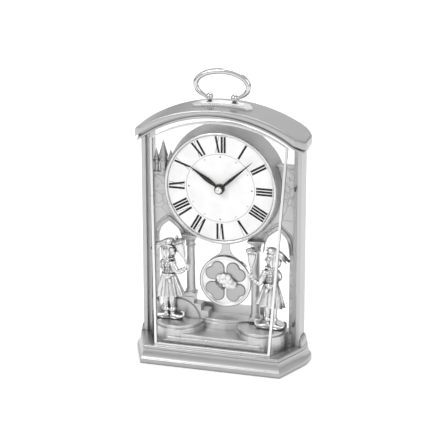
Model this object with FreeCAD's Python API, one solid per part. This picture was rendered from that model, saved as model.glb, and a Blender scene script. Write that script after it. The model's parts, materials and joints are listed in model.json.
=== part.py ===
"""Table clock with an arched crown, a leaning front glass, a castle stage with two figures
and a swinging ring pendulum.  Millimetres, +Z up, the front looks along -Y.  The origin is on
the surface that the clock stands on, under the middle of its base."""
import FreeCAD, Part
import math
import os

V = FreeCAD.Vector
X_AXIS, Y_AXIS, Z_AXIS = V(1, 0, 0), V(0, 1, 0), V(0, 0, 1)

# Shared values
OVERRUN = 1.0            # how far a cut runs past the face it starts from
SEAT = 0.2               # gap between pieces of one body that sit in each other
RUN_CLEAR = 0.05         # radial running clearance of a shaft in its bore
FREE_CLEAR = 0.5         # gap round pieces that pass each other while moving

# Flat steps that stand for curves
CORNER_STEPS = 3         # least number of steps in a rounded corner
CORNER_TURN = math.radians(22.5)
ARCH_COUNT = 8           # steps on each half of the crown's arches
CURVE_COUNT = 5          # steps along one curve of an outline
BAR_COUNT = 10           # sides of small round pieces that stand still
DISC_COUNT = 32          # sides of the stage's discs
DRUM_COUNT = 36          # sides of drum, bezel and dial

# Base plinth: the plan is a box with two long front chamfers
BASE_SIDE_HALF = 97.4
BASE_FLANK_RUN = 19.4
BASE_FRONT_HALF = BASE_SIDE_HALF - BASE_FLANK_RUN
BASE_FRONT_Y = -38.5
BASE_BACK_Y = 38.5
BASE_SIDE_Y = 8.0
BASE_SIDE_R = 50.0
BASE_BACK_R = 14.0
BASE_LIFT = 0.6
BASE_TOP_Z = 20.0
BASE_WALL = 3.4
BASE_ROOF = 3.2
BAND_TOP_Z = 6.4
BAND_INSET = 0.5
COVE_INSET = 4.1
COVE_H = 5.0
NECK_TOP_Z = 16.2
BEAD_STEP = 0.7
BEAD_R = 1.7
TIER_H = 8.8
TIER_BULGE_SHARE = 0.42

# Bottom cover, pads and screws under the base
COVER_T = 2.0
PAD_R = 7.0
PAD_H = 1.4
PAD_X = BASE_SIDE_HALF * 0.72
PAD_FRONT_Y = -22.0
PAD_BACK_Y = 24.0
SCREW_R = 1.5
SCREW_HEAD_R = 2.8
SCREW_HEAD_H = 1.1
BOSS_R = 4.0
COVER_SCREW_X = BASE_SIDE_HALF * 0.82
COVER_SCREW_L = 9.0

# Posts and the tie rods in them
POST_INSET = 9.0
POST_OUTER_X = BASE_SIDE_HALF - POST_INSET
POST_STILE_W = 5.0
POST_FILLET_W = 4.0
POST_FRONT_Y = 6.0
POST_DEPTH = 22.6
POST_REBATE = 4.0
POST_EDGE_R = 0.9
ROD_R = 1.5
ROD_INTO_CROWN = 5.0
NUT_COUNT = 6
NUT_R = 3.2
NUT_H = 2.4

# Crown: arcs about axes along Y, seen from the front
LIP_APEX_Z = 280.2
LIP_R = 145.7
LIP_T = 1.7
TOP_APEX_Z = 283.0
CROWN_END_T = 7.8
TOP_SAG = TOP_APEX_Z - LIP_APEX_Z + LIP_R - math.sqrt(LIP_R ** 2 - BASE_SIDE_HALF ** 2) - CROWN_END_T
TOP_R = (BASE_SIDE_HALF ** 2 + TOP_SAG ** 2) / (2 * TOP_SAG)
CROWN_FLANK_RUN = 13.1
CROWN_FRONT_HALF = BASE_SIDE_HALF - CROWN_FLANK_RUN
CROWN_FRONT_Y = -12.2
CROWN_SIDE_R = 40.0
CROWN_BACK_R = 14.0
CROWN_BEVEL = 1.4
GROOVE_INSET = 3.4
GROOVE_T = 2.3
MOULD_INSET = 2.6
MOULD_T = 2.6
CROWN_WALL = 3.4
CROWN_SKIN = 3.0
CROWN_END_BLOCK = 19.0

# Glass: the front sheet leans back, its trim runs round all four edges
GLASS_T = 2.2
GLASS_LOW_INSET = 13.4
GLASS_TOP_INSET = 8.7
GLASS_LOW_HALF = BASE_FRONT_HALF - GLASS_LOW_INSET
GLASS_TOP_HALF = CROWN_FRONT_HALF - GLASS_TOP_INSET
GLASS_LOW_Y = -29.2
GLASS_CORNER_Z = 245.6
GLASS_CORNER_Y = -3.7
GLASS_RISE = 22.6
TRIM_W = 2.6
TRIM_T = 3.4
TRIM_LAP = 1.5
PANE_T = 2.0
PANE_GAP = 0.6
REAR_PANE_T = 1.6
REAR_PANE_LAP = 5.4
REAR_PANE_HALF = POST_OUTER_X - REAR_PANE_LAP
REAR_HOLE_R = 58.0

# Stage inside the glass
DECK_Z = 31.0
DECK_HALF = 47.0
DECK_FRONT_Y = -19.5
DECK_BACK_Y = 30.4
DECK_SIDE_GAP = 1.0
DECK_REAR_Y = 13.0
STEP_COUNT = 2
STEP_RISE = 3.0
STEP_RUN = 2.5
STEP_SIDE = 4.8
LOBE_X = 46.6
LOBE_Y = 7.0
LOBE_R = 28.0
TIER_LOW_H = 5.2
TIER_TOP_H = 3.6
TIER_TOP_INSET = 1.8
PODIUM_R = 58.0
PODIUM_FRONT_Y = 4.5
PODIUM_LOW_H = 7.5
PODIUM_TOP_H = 3.5
PODIUM_TOP_INSET = 1.0
STAIR_X0 = -56.0
STAIR_X1 = -31.5
STAIR_TREAD = 8.2
STAIR_RISE = 7.3
STAIR_STEPS = 3
RISER_HALF = 43.0
RISER_H = 11.0
RISER_T = 2.0
STAIR_FRONT_Y = 9.6
STAIR_BACK_Y = 23.0

# Columns
COLUMN_X = 36.6
COLUMN_Y = 16.4
SHAFT_R = 4.9
SHAFT_TOP_R = 4.4
CAPITAL_HALF = 8.4
CAPITAL_DEPTH_HALF = 6.6
CAPITAL_Z = 122.0
CAPITAL_TOP_Z = 134.6
ABACUS_H = 3.2
PLINTH_HALF = 6.5
PLINTH_H = 4.4
TORUS_R = 1.4

# Castle walls
WALL_FRONT_Y = 17.0
WALL_T = 5.6
PILASTER_W = 5.6
SPRING_Z = 121.0
ARCH_INNER_X = COLUMN_X + CAPITAL_HALF
ARCH_SKEW = 1.6
ARCH_APEX_Z = 147.5
ARCH_BULGE = 3.6
ARCHIVOLT_W = 5.2
ARCHIVOLT_T = 1.2
WALL_LEFT_Z = 202.0
WALL_RIGHT_Z = 221.0
COPING_H = 2.4
COPING_OUT = 1.0

# Towers: distance of the axis from the wall's outer edge, radius, eaves z, roof radius, tip z
MAIN_TOWER = (11.6, 4.4, 219.5, 5.2, 238.5)
LEFT_TOWER = (3.8, 2.6, 215.5, 3.2, 228.5)
RIGHT_TOWER = (19.8, 2.6, 216.5, 3.2, 228.0)
TOWER_COUNT = 10
TOWER_COLLAR_Z = 212.5
TOWER_COLLAR_H = 2.0
TOWER_COLLAR_OUT = 0.9

# Drum, bezel and dial
DIAL_Z = 193.0
DIAL_Y = 4.8
DIAL_R = 60.4
DIAL_T = 1.2
DIAL_HOLE_R = 4.3
BEZEL_IN_R = 59.0
BEZEL_OUT_R = 61.6
BEZEL_FRONT_Y = 2.6
DRUM_FRONT_R = 62.6
DRUM_BACK_R = 66.6
DRUM_BACK_Y = 30.8
DRUM_WALL = 2.0
DRUM_HOLE_HALF = 34.0
SLOT_HALF = 16.0

# Hands
HAND_T = 0.5
HOUR_HAND_Y = 2.4
MINUTE_HAND_Y = 1.1
HOUR_HAND_L = 37.0
MINUTE_HAND_L = 48.0
CAP_R = 5.0
CAP_H = 3.4
HOUR_ANGLE = 304.0
MINUTE_ANGLE = 48.0

# Movement
MOVE_HALF = 28.0
MOVE_FRONT_Y = 6.6
MOVE_BACK_Y = 23.6
MOVE_WALL = 1.5
MOVE_CORNER_R = 4.0
MOVE_COVER_T = 1.6
BUSH_R = 4.1
BUSH_FRONT_Y = 3.2
DIAL_NUT_R = 5.6
DIAL_NUT_T = 1.2
HOUR_TUBE_R = 2.9
MINUTE_TUBE_R = 1.7
CANNON_TEETH = 6
MINUTE_WHEEL_TEETH = 18
WHEEL_PINION_TEETH = 6
HOUR_WHEEL_TEETH = 24
WORK_CENTRES = 14.5
WHEEL_T = 1.2
PINION_T = 2.6
WORK_GAP = 0.5
KNOB_R = 6.4
KNOB_T = 4.0
KNOB_COUNT = 12
KNOB_STEM_R = 1.6
BATTERY_R = 7.1
BATTERY_L = 49.0
BATTERY_TIP_R = 2.6
BATTERY_TIP_L = 1.2
COIL_R = 4.5
COIL_L = 18.0
COIL_X = 8.0
COIL_Z = 17.5
BOARD_W = 20.0
BOARD_H = 13.0
BOARD_T = 1.0

# Pendulum
PIVOT_Z = 214.0
PIVOT_R = 1.5
PIVOT_HEAD_T = 0.8
ARM_Y = 26.4
ARM_T = 1.2
ARM_HALF = 4.8
ARM_EYE_R = 5.0
RING_T = 2.4
RING_Z = 80.0
RING_R = 29.0
RING_BAND = 4.4
YOKE_HALF = 20.0
YOKE_DROP = 9.5
WEB_T = 0.8
PETAL_T = 0.8
PETAL_LOBE_R = 6.9
PETAL_LOBE_NEAR = 8.6
PETAL_LOBE_FAR = 15.3
GEM_R = 9.4
GEM_WIDE_SHARE = 1.25
GEM_T = 3.0
MAGNET_R = 4.0
MAGNET_T = 1.6
MAGNET_Z = 152.0

# Handle on the crown
HANDLE_Y = 12.0
HANDLE_POST_X = 13.6
HANDLE_PIVOT_Z = 291.4
BALL_R = 3.5
PIVOT_PIN_R = 1.2
PIVOT_PIN_L = 4.6
HANDLE_TOP_Z = 319.6
HANDLE_HALF = 28.8
HANDLE_DIP = 3.0
BAIL_COUNT = 8
BAIL_SECTIONS = 13
HANDLE_TOP_R = 3.1
HANDLE_END_R = 1.9
PLATE_T = 2.6
PLATE_HALF = 33.0
PLATE_FRONT_Y = 4.0
PLATE_BACK_Y = 22.0
PLATE_NOTCH = 5.0
STUD_R = 1.5
STUD_L = 12.0

# Figures: drawn standing on their own origin, body to the front, head turned to +X
LIMB_COUNT = 5
OVAL_COUNT = 8
FIG_X = 57.4
FIG_Y = 3.0
HEM_Z = 27.0
HEM_HALF = 15.9
HEM_DEPTH = 10.4
WAIST_Z = 51.0
WAIST_HALF = 7.9
WAIST_DEPTH = 5.8
PLEATS = 8
PLEAT_SHARE = 0.09
BELT_H = 3.4
CHEST_Z = 64.5
CHEST_HALF = 8.5
CHEST_DEPTH = 6.1
NECK_Z = 71.0
NECK_R = 3.0
COLLAR_R = 6.6
COLLAR_H = 2.6
HEAD_Z = 80.5
HEAD_R = 6.1
HEAD_X = -0.5
HAIR_R = 7.7
HAIR_LOW_Z = 70.5
NOSE_OUT = 1.3
HAT_R = 6.8
LEG_X = 3.7
LEG_R = 3.9
ANKLE_R = 2.3
SHOE_R = 2.5
SHOE_TIP_X = 16.6
SHOE_TIP_Z = 6.6
ARM_R = 3.3
WRIST_R = 1.9
FIST_R = 2.6
GRIP_LEFT = (21.6, 64.0)
GRIP_RIGHT = (21.4, 60.0)
LEAN_LEFT = -19.0
LEAN_RIGHT = -3.0
CUP_COUNT = 8
CUP_STEM_R = 1.1
CUP_BALL_R = 2.1
CUP_R = 6.6
CUP_L = 30.5
CUP_GRIP = 4.0


# General helpers
def box(x0, x1, y0, y1, z0, z1):
    return Part.makeBox(x1 - x0, y1 - y0, z1 - z0, V(x0, y0, z0))


def rod(r, start, direction, length):
    return Part.makeCylinder(r, length, start, direction)


def mirrored(shape):
    return shape.mirror(V(0, 0, 0), X_AXIS)


def both_sides(shape):
    return Part.makeCompound([shape, mirrored(shape)])


def joined(shapes):
    whole = shapes[0]
    for other in shapes[1:]:
        whole = whole.fuse(other)
    return whole.removeSplitter()


def sheet_xz(points, y0, y1):
    """Straight-sided outline in X and Z, given as pairs, extruded along Y."""
    ring = [V(x, y0, z) for x, z in points]
    return Part.Face(Part.makePolygon(ring + ring[:1])).extrude(V(0, y1 - y0, 0))


def skinned(rings, capped=True):
    """Solid with flat facets between rings of points; an end ring may be a single point."""
    faces = []
    for low, high in zip(rings, rings[1:]):
        count = max(len(low), len(high))
        for k in range(count):
            a, b = low[k % len(low)], low[(k + 1) % len(low)]
            c, d = high[(k + 1) % len(high)], high[k % len(high)]
            if len(low) > 1:
                faces.append(Part.Face(Part.makePolygon([a, b, c, a])))
            if len(high) > 1:
                faces.append(Part.Face(Part.makePolygon([a, c, d, a])))
    for end in (rings[0], rings[-1]):
        if capped and len(end) > 1:
            faces.append(Part.Face(Part.makePolygon(end + end[:1])))
    solid = Part.makeSolid(Part.makeShell(faces))
    if solid.Volume < 0:
        solid.reverse()
    return solid.removeSplitter()


def turned(profile, centre, axis=Z_AXIS, sides=BAR_COUNT):
    """Turning of (radius, height) pairs that starts and ends on its axis, with flat facets."""
    spin = FreeCAD.Rotation(Z_AXIS, axis)
    rings = []
    for r, h in profile:
        count = sides if r > 0 else 1
        turns = [2 * math.pi * (k + 0.5) / sides for k in range(count)]
        rings.append([centre + spin.multVec(V(r * math.cos(a), r * math.sin(a), h)) for a in turns])
    return skinned(rings)


def hoop(profile, centre, axis, sides):
    """Ring with flat facets, from a closed outline of (radius, height) pairs off the axis."""
    spin = FreeCAD.Rotation(Z_AXIS, axis)
    rings = []
    for k in range(sides + 1):
        a = 2 * math.pi * (k % sides + 0.5) / sides
        rings.append([centre + spin.multVec(V(r * math.cos(a), r * math.sin(a), h)) for r, h in profile])
    return skinned(rings, False)


def stick(r, start, direction, length, sides=BAR_COUNT):
    """Straight bar with flat sides, for round pieces that stand still."""
    return turned([(0, 0), (r, 0), (r, length), (0, length)], start, direction, sides)


def slab(points, z0, z1):
    """Plan outline, given as (x, y) pairs, raised from z0 to z1."""
    ring = [V(x, y, z0) for x, y in points]
    return Part.Face(Part.makePolygon(ring + ring[:1])).extrude(V(0, 0, z1 - z0))


def rounded(points, radii):
    """Outline whose corners are rounded, each by its own radius, in a few straight steps."""
    out = []
    for i, (px, py) in enumerate(points):
        if radii[i] <= 0:
            out.append((px, py))
            continue
        corner = V(px, py, 0)
        before = (V(*points[i - 1], 0) - corner).normalize()
        after = (V(*points[(i + 1) % len(points)], 0) - corner).normalize()
        half = before.getAngle(after) / 2
        centre = corner + (before + after).normalize() * (radii[i] / math.sin(half))
        start = corner + before * (radii[i] / math.tan(half)) - centre
        turn = math.pi - 2 * half
        steps = max(CORNER_STEPS, round(turn / CORNER_TURN))
        if before.cross(after).z > 0:
            turn = -turn
        for k in range(steps + 1):
            a = turn * k / steps
            out.append((centre.x + start.x * math.cos(a) - start.y * math.sin(a),
                        centre.y + start.x * math.sin(a) + start.y * math.cos(a)))
    return out


def plan(front_half, front_y, side_r, back_r, inset):
    """The clock's plan, drawn in by inset: front edge, two chamfers, sides and back."""
    flank = V(BASE_SIDE_HALF - front_half, BASE_SIDE_Y - front_y, 0).normalize()
    shift_x, shift_y = -flank.y * inset, flank.x * inset
    y0, y1, x1 = front_y + inset, BASE_BACK_Y - inset, BASE_SIDE_HALF - inset
    fx = front_half + shift_x + (y0 - front_y - shift_y) * flank.x / flank.y
    sy = front_y + shift_y + (x1 - front_half - shift_x) * flank.y / flank.x
    points = [(fx, y0), (x1, sy), (x1, y1), (-x1, y1), (-x1, sy), (-fx, y0)]
    sr, br = side_r - inset, back_r - inset
    return rounded(points, [0, sr, br, br, sr, 0])


def base_plan(inset):
    return plan(BASE_FRONT_HALF, BASE_FRONT_Y, BASE_SIDE_R, BASE_BACK_R, inset)


def crown_plan(inset):
    return plan(CROWN_FRONT_HALF, CROWN_FRONT_Y, CROWN_SIDE_R, CROWN_BACK_R, inset)


def arch_line(r, apex_z, extra=0.0):
    """Corners, seen from the front, of an arch whose radius is made extra larger."""
    reach = BASE_SIDE_HALF + OVERRUN
    xs = [reach * k / ARCH_COUNT for k in range(-ARCH_COUNT, ARCH_COUNT + 1)]
    return [(x, apex_z - r + math.sqrt((r + extra) ** 2 - x * x)) for x in xs]


def under_arch(r, apex_z, extra=0.0):
    """The room below an arch, over the clock's whole depth."""
    points = arch_line(r, apex_z, extra)
    feet = [(points[-1][0], 0), (points[0][0], 0)]
    return sheet_xz(points + feet, BASE_FRONT_Y, BASE_BACK_Y)


def along(line, x):
    """Second value at x on a line of (x, value) corners that runs with growing x."""
    for (x0, v0), (x1, v1) in zip(line, line[1:]):
        if x <= x1:
            break
    return v0 + (v1 - v0) * (x - x0) / (x1 - x0)


def save(name, shape):
    solids = shape.Solids
    if not solids or not all(s.isValid() for s in solids):
        raise ValueError("not a valid solid: " + name)
    shape.exportStep("parts/" + name + ".step")
    print(name, len(solids), round(sum(s.Volume for s in solids), 1))


# Base
def base_plinth():
    levels = [(0, BASE_LIFT), (BAND_INSET, BAND_TOP_Z)]
    for k in range(3):
        turn = math.radians(90) * (k + 1) / 3
        levels.append((BAND_INSET + (COVE_INSET - BAND_INSET) * math.sin(turn),
                       BAND_TOP_Z + BAND_INSET + COVE_H * (1 - math.cos(turn))))
    levels.append((COVE_INSET, NECK_TOP_Z))
    step_z = NECK_TOP_Z + BEAD_STEP / 2
    levels.append((COVE_INSET + BEAD_STEP, step_z))
    bead_z = (step_z + BASE_TOP_Z) / 2
    levels.append((COVE_INSET + BEAD_STEP - BEAD_R / 4, bead_z))
    levels.append((bead_inset(), BASE_TOP_Z))
    body = skinned([[V(x, y, z) for x, y in base_plan(inset)] for inset, z in levels])
    low = BASE_LIFT - OVERRUN
    body = body.cut(slab(base_plan(COVE_INSET + BASE_WALL), low, BASE_TOP_Z - BASE_ROOF))
    body = body.cut(slab(base_plan(BASE_WALL), low, cover_top()))
    for x, y in cover_screw_places():
        boss = box(x - BOSS_R, x + BOSS_R, y - BOSS_R, y + BOSS_R, cover_top(), BASE_TOP_Z - BASE_ROOF)
        body = body.fuse(boss)
        body = body.cut(stick(SCREW_R, V(x, y, cover_top() - OVERRUN), Z_AXIS, COVER_SCREW_L))
    body = body.fuse(foot_tier())
    for x in (-rod_x(), rod_x()):
        body = body.cut(stick(ROD_R + SEAT, V(x, rod_y(), 0), Z_AXIS, BASE_TOP_Z + OVERRUN))
    return body.removeSplitter()


def bead_inset():
    return COVE_INSET + BEAD_STEP + BEAD_R / 4


def foot_tier():
    """Quarter-round tier that hugs the outer faces of both posts."""
    reach = BASE_SIDE_HALF - bead_inset() - POST_OUTER_X
    rings = []
    for k in range(4):
        turn = math.radians(90) * k / 3
        inset = bead_inset() + reach * (1 - math.cos(turn)) * (1 - TIER_BULGE_SHARE / 2)
        rings.append([V(x, y, BASE_TOP_Z + TIER_H * math.sin(turn)) for x, y in base_plan(inset)])
    half = POST_OUTER_X + SEAT
    low, top = BASE_TOP_Z - OVERRUN, BASE_TOP_Z + TIER_H + OVERRUN
    tier = skinned(rings).cut(box(-half, half, BASE_FRONT_Y, BASE_BACK_Y, low, top))
    return tier.cut(box(-BASE_SIDE_HALF, BASE_SIDE_HALF, BASE_FRONT_Y, POST_FRONT_Y, low, top))


def cover_top():
    return PAD_H + COVER_T


def cover_screw_places():
    return [(-COVER_SCREW_X, 0), (COVER_SCREW_X, 0)]


def base_cover():
    plate = slab(base_plan(BASE_WALL + SEAT), PAD_H, cover_top())
    for x, y in cover_screw_places():
        hole = stick(SCREW_R + SEAT, V(x, y, PAD_H - OVERRUN), Z_AXIS, COVER_T + 2 * OVERRUN)
        plate = plate.cut(hole)
    return plate


def cover_screws():
    profile = [(0, PAD_H - SCREW_HEAD_H), (SCREW_HEAD_R, PAD_H - SCREW_HEAD_H), (SCREW_HEAD_R, PAD_H),
               (SCREW_R, PAD_H), (SCREW_R, PAD_H + COVER_SCREW_L), (0, PAD_H + COVER_SCREW_L)]
    return Part.makeCompound([turned(profile, V(x, y, 0)) for x, y in cover_screw_places()])


def base_pads():
    return Part.makeCompound([box(sx * PAD_X - PAD_R, sx * PAD_X + PAD_R, y - PAD_R, y + PAD_R, 0, PAD_H)
                              for sx in (-1, 1) for y in (PAD_FRONT_Y, PAD_BACK_Y)])


# Posts
def rod_x():
    return POST_OUTER_X - POST_STILE_W + SEAT


def rod_y():
    return POST_FRONT_Y + POST_DEPTH * 2 / 3


def mould_drop():
    """How far the crown's underside lies inside the lip's arch."""
    return LIP_T + GROOVE_T + MOULD_T


def under_mould(grow=0.0):
    return under_arch(LIP_R, LIP_APEX_Z, -mould_drop() - grow)


def rod_hole_top():
    return along(arch_line(LIP_R, LIP_APEX_Z, -mould_drop()), rod_x()) + ROD_INTO_CROWN


def post_block(grow):
    """Room that the right-hand post takes up, grown by the seating gap."""
    x1, x2 = POST_OUTER_X - POST_STILE_W, POST_OUTER_X
    stile = box(x1 - grow, x2 + grow, POST_FRONT_Y - grow, POST_FRONT_Y + POST_DEPTH, 0, LIP_APEX_Z)
    inner = box(x1 - POST_FILLET_W - grow, x2, POST_FRONT_Y + POST_REBATE - grow,
                POST_FRONT_Y + POST_DEPTH, 0, LIP_APEX_Z)
    return stile.fuse(inner)


def post():
    """Right-hand post: a stile with a narrower fillet strip set back beside it."""
    x2 = POST_OUTER_X
    x1 = x2 - POST_STILE_W
    x0 = x1 - POST_FILLET_W
    y0, y1 = POST_FRONT_Y, POST_FRONT_Y + POST_DEPTH
    ys = y0 + POST_REBATE
    points = [(x0, ys), (x1, ys), (x1, y0), (x2, y0), (x2, y1), (x0, y1)]
    radii = [0, 0, POST_EDGE_R, POST_EDGE_R, 0, 0]
    body = slab(rounded(points, radii), BASE_TOP_Z, LIP_APEX_Z).common(under_mould())
    return body.cut(stick(ROD_R + SEAT, V(rod_x(), rod_y(), BASE_TOP_Z), Z_AXIS, LIP_APEX_Z))


def tie_rods():
    low = BASE_TOP_Z - BASE_ROOF - NUT_H
    bar = stick(ROD_R, V(rod_x(), rod_y(), low), Z_AXIS, rod_hole_top() - low)
    nut = stick(NUT_R, V(rod_x(), rod_y(), low), Z_AXIS, NUT_H, NUT_COUNT)
    return both_sides(joined([bar, nut]))


# Crown
def crown_layer(inset, low, high):
    """Slice of the crown between two arches that lie low and high inside the lip's."""
    layer = slab(crown_plan(inset), DIAL_Z, TOP_APEX_Z).common(under_arch(LIP_R, LIP_APEX_Z, -high))
    return layer.cut(under_arch(LIP_R, LIP_APEX_Z, -low))


def crown_top():
    """Roof and lip in one, bevelled all round, as cross-sections from left to right."""
    right = [p for p in crown_plan(0) if p[0] > 0]
    turns = [i for i, p in enumerate(right) if p[0] > BASE_SIDE_HALF - RUN_CLEAR]
    front = [(0, right[0][1])] + right[:turns[0] + 1]
    back = [(0, right[-1][1])] + right[turns[1]:][::-1]
    roof = arch_line(TOP_R, TOP_APEX_Z)
    under = arch_line(LIP_R, LIP_APEX_Z, -LIP_T)
    xs = [0.0, BASE_SIDE_HALF - CROWN_BEVEL] + [x for x, z in roof if 0 < x < BASE_SIDE_HALF]
    for x in sorted(x for x, y in front[1:] + back[1:]):
        if min(abs(x - other) for other in xs) > SEAT:
            xs.append(x)
    xs = sorted(set(xs))
    rings = []
    for x in [-x for x in reversed(xs[1:])] + xs:
        y0, y1 = along(front, abs(x)), along(back, abs(x))
        z0, z1 = along(under, x), along(roof, x)
        z2 = z1 - CROWN_BEVEL if abs(x) > BASE_SIDE_HALF - RUN_CLEAR else z1
        rings.append([V(x, y0, z0), V(x, y0, z1 - CROWN_BEVEL), V(x, y0 + CROWN_BEVEL, z2),
                      V(x, y1 - CROWN_BEVEL, z2), V(x, y1, z1 - CROWN_BEVEL), V(x, y1, z0)])
    return skinned(rings)


def crown():
    lap = LIP_T / 2
    low = LIP_T + GROOVE_T
    body = joined([crown_top(), crown_layer(GROOVE_INSET, low, lap),
                   crown_layer(MOULD_INSET, mould_drop(), low - lap)])
    wall = MOULD_INSET + CROWN_WALL
    end = BASE_SIDE_HALF - CROWN_END_BLOCK
    pocket = box(-end, end, CROWN_FRONT_Y + wall, BASE_BACK_Y - wall, DIAL_Z, TOP_APEX_Z)
    body = body.cut(pocket.common(under_arch(TOP_R, TOP_APEX_Z, -CROWN_SKIN)))
    for sx in (-1, 1):
        hole = stick(ROD_R, V(sx * rod_x(), rod_y(), DIAL_Z), Z_AXIS, rod_hole_top() - DIAL_Z)
        stud = stick(STUD_R + SEAT, V(sx * HANDLE_POST_X, HANDLE_Y, DIAL_Z), Z_AXIS, LIP_APEX_Z)
        body = body.cut(hole).cut(stud)
    return body


# Glass
def lean():
    return math.atan2(GLASS_CORNER_Y - GLASS_LOW_Y, GLASS_CORNER_Z - BASE_TOP_Z)


def glass_sheet(grow, front, thick):
    """Sheet in the leaning plane: grow widens the outline, front is its depth offset."""
    tall = (GLASS_CORNER_Z - BASE_TOP_Z) / math.cos(lean())
    low, high = GLASS_LOW_HALF + grow, GLASS_TOP_HALF + grow
    bottom = -grow
    points = [V(-low, front, bottom), V(low, front, bottom)]
    arch = Part.Arc(V(high, front, tall), V(0, front, tall + GLASS_RISE + grow), V(-high, front, tall))
    points = points + arch.toShape().discretize(3 * CURVE_COUNT)
    solid = Part.Face(Part.makePolygon(points + points[:1])).extrude(V(0, thick, 0))
    solid.rotate(V(0, 0, 0), X_AXIS, -math.degrees(lean()))
    solid.translate(V(0, GLASS_LOW_Y, BASE_TOP_Z))
    return solid


def above_base(shape):
    deep = BASE_FRONT_Y
    low = box(-BASE_SIDE_HALF, BASE_SIDE_HALF, deep, -deep, BASE_TOP_Z - TRIM_W * 2, BASE_TOP_Z)
    return shape.cut(low)


def front_glass():
    return above_base(glass_sheet(TRIM_LAP - TRIM_W, (TRIM_T - GLASS_T) / 2, GLASS_T))


def glass_trim():
    frame = glass_sheet(0, 0, TRIM_T).cut(glass_sheet(-TRIM_W, -OVERRUN, TRIM_T + 2 * OVERRUN))
    return above_base(frame).cut(front_glass())


def pane_corners():
    """Side pane of the right side: low front, low rear, top rear, top front."""
    low_f = V(GLASS_LOW_HALF + PANE_GAP, GLASS_LOW_Y + TRIM_T / 2, BASE_TOP_Z)
    low_r = V(POST_OUTER_X - POST_STILE_W - SEAT, POST_FRONT_Y + POST_REBATE, BASE_TOP_Z)
    top_f = V(GLASS_TOP_HALF + PANE_GAP, GLASS_CORNER_Y + TRIM_T / 2, GLASS_CORNER_Z)
    normal = (low_r - low_f).cross(top_f - low_f).normalize()
    top_r = V(0, low_r.y, GLASS_CORNER_Z)
    top_r.x = low_f.x - (normal.y * (top_r.y - low_f.y) + normal.z * (top_r.z - low_f.z)) / normal.x
    return [low_f, low_r, top_r, top_f], normal


def side_glass():
    corners, normal = pane_corners()
    pane = Part.Face(Part.makePolygon(corners + corners[:1])).extrude(normal * -PANE_T)
    pane = pane.cut(glass_sheet(PANE_GAP / 2, -TRIM_T, TRIM_T * 3)).cut(post_block(SEAT))
    return above_base(pane).common(under_mould(SEAT))


def rear_pane():
    y0 = DRUM_BACK_Y
    pane = box(-REAR_PANE_HALF, REAR_PANE_HALF, y0, y0 + REAR_PANE_T, BASE_TOP_Z, LIP_APEX_Z)
    hole = stick(REAR_HOLE_R, V(0, y0 - OVERRUN, DIAL_Z), Y_AXIS, REAR_PANE_T + 2 * OVERRUN, DRUM_COUNT)
    return pane.common(under_mould()).cut(hole)


# Stage
def stage_deck():
    half = wall_outer() - DECK_SIDE_GAP
    rear = box(-half, half, DECK_REAR_Y, DECK_BACK_Y, BASE_TOP_Z, DECK_Z)
    pieces = [box(-DECK_HALF, DECK_HALF, DECK_FRONT_Y, DECK_BACK_Y, BASE_TOP_Z, DECK_Z), rear]
    for sx in (-1, 1):
        pieces.append(stick(LOBE_R, V(sx * LOBE_X, LOBE_Y, BASE_TOP_Z), Z_AXIS, DECK_Z - BASE_TOP_Z,
                            DISC_COUNT))
    for k in range(1, STEP_COUNT + 1):
        half = DECK_HALF + k * STEP_SIDE
        pieces.append(box(-half, half, DECK_FRONT_Y - k * STEP_RUN, LOBE_Y,
                          BASE_TOP_Z, DECK_Z - k * STEP_RISE))
    return joined(pieces).common(stage_room())


def stage_room():
    return box(-POST_OUTER_X, POST_OUTER_X, BASE_FRONT_Y, DECK_BACK_Y, BASE_TOP_Z, DIAL_Z)


def podium_plan(inset, z0, z1):
    y0 = PODIUM_FRONT_Y + PODIUM_R
    disc = stick(PODIUM_R - inset, V(0, y0, z0), Z_AXIS, z1 - z0, DISC_COUNT)
    disc = disc.common(box(-PODIUM_R, PODIUM_R, PODIUM_FRONT_Y, DECK_BACK_Y, z0, z1))
    wing = box(STAIR_X0, 0, STAIR_FRONT_Y, STAIR_BACK_Y, z0, z1)
    return disc.fuse(wing).removeSplitter()


def podium_top():
    return DECK_Z + PODIUM_LOW_H + PODIUM_TOP_H


def podium():
    mid = DECK_Z + PODIUM_LOW_H
    riser = box(-RISER_HALF, RISER_HALF, DECK_BACK_Y - RISER_T, DECK_BACK_Y, mid,
                podium_top() + RISER_H)
    return joined([podium_plan(0, DECK_Z, mid), podium_plan(PODIUM_TOP_INSET, mid, podium_top()),
                   riser])


def pedestal():
    """Two-tier disc on the right, cut back where the podium stands."""
    top_r = LOBE_R - TIER_TOP_INSET
    profile = [(0, 0), (LOBE_R, 0), (LOBE_R, TIER_LOW_H), (top_r, TIER_LOW_H),
               (top_r, TIER_LOW_H + TIER_TOP_H), (0, TIER_LOW_H + TIER_TOP_H)]
    return turned(profile, V(LOBE_X, LOBE_Y, DECK_Z), Z_AXIS, DISC_COUNT)


def pedestal_top():
    return DECK_Z + TIER_LOW_H + TIER_TOP_H


def clear_of_podium(shape):
    plinth = podium_plan(-SEAT, DECK_Z - OVERRUN, podium_top() + OVERRUN)
    return shape.cut(plinth).common(stage_room())


def stairs():
    blocks = []
    for k in range(STAIR_STEPS):
        x1 = STAIR_X1 + k * STAIR_TREAD
        top = podium_top() + (STAIR_STEPS - k) * STAIR_RISE
        blocks.append(box(STAIR_X0, x1, STAIR_FRONT_Y, STAIR_BACK_Y, podium_top(), top))
    return joined(blocks)


def stairs_top():
    return podium_top() + STAIR_STEPS * STAIR_RISE


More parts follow.
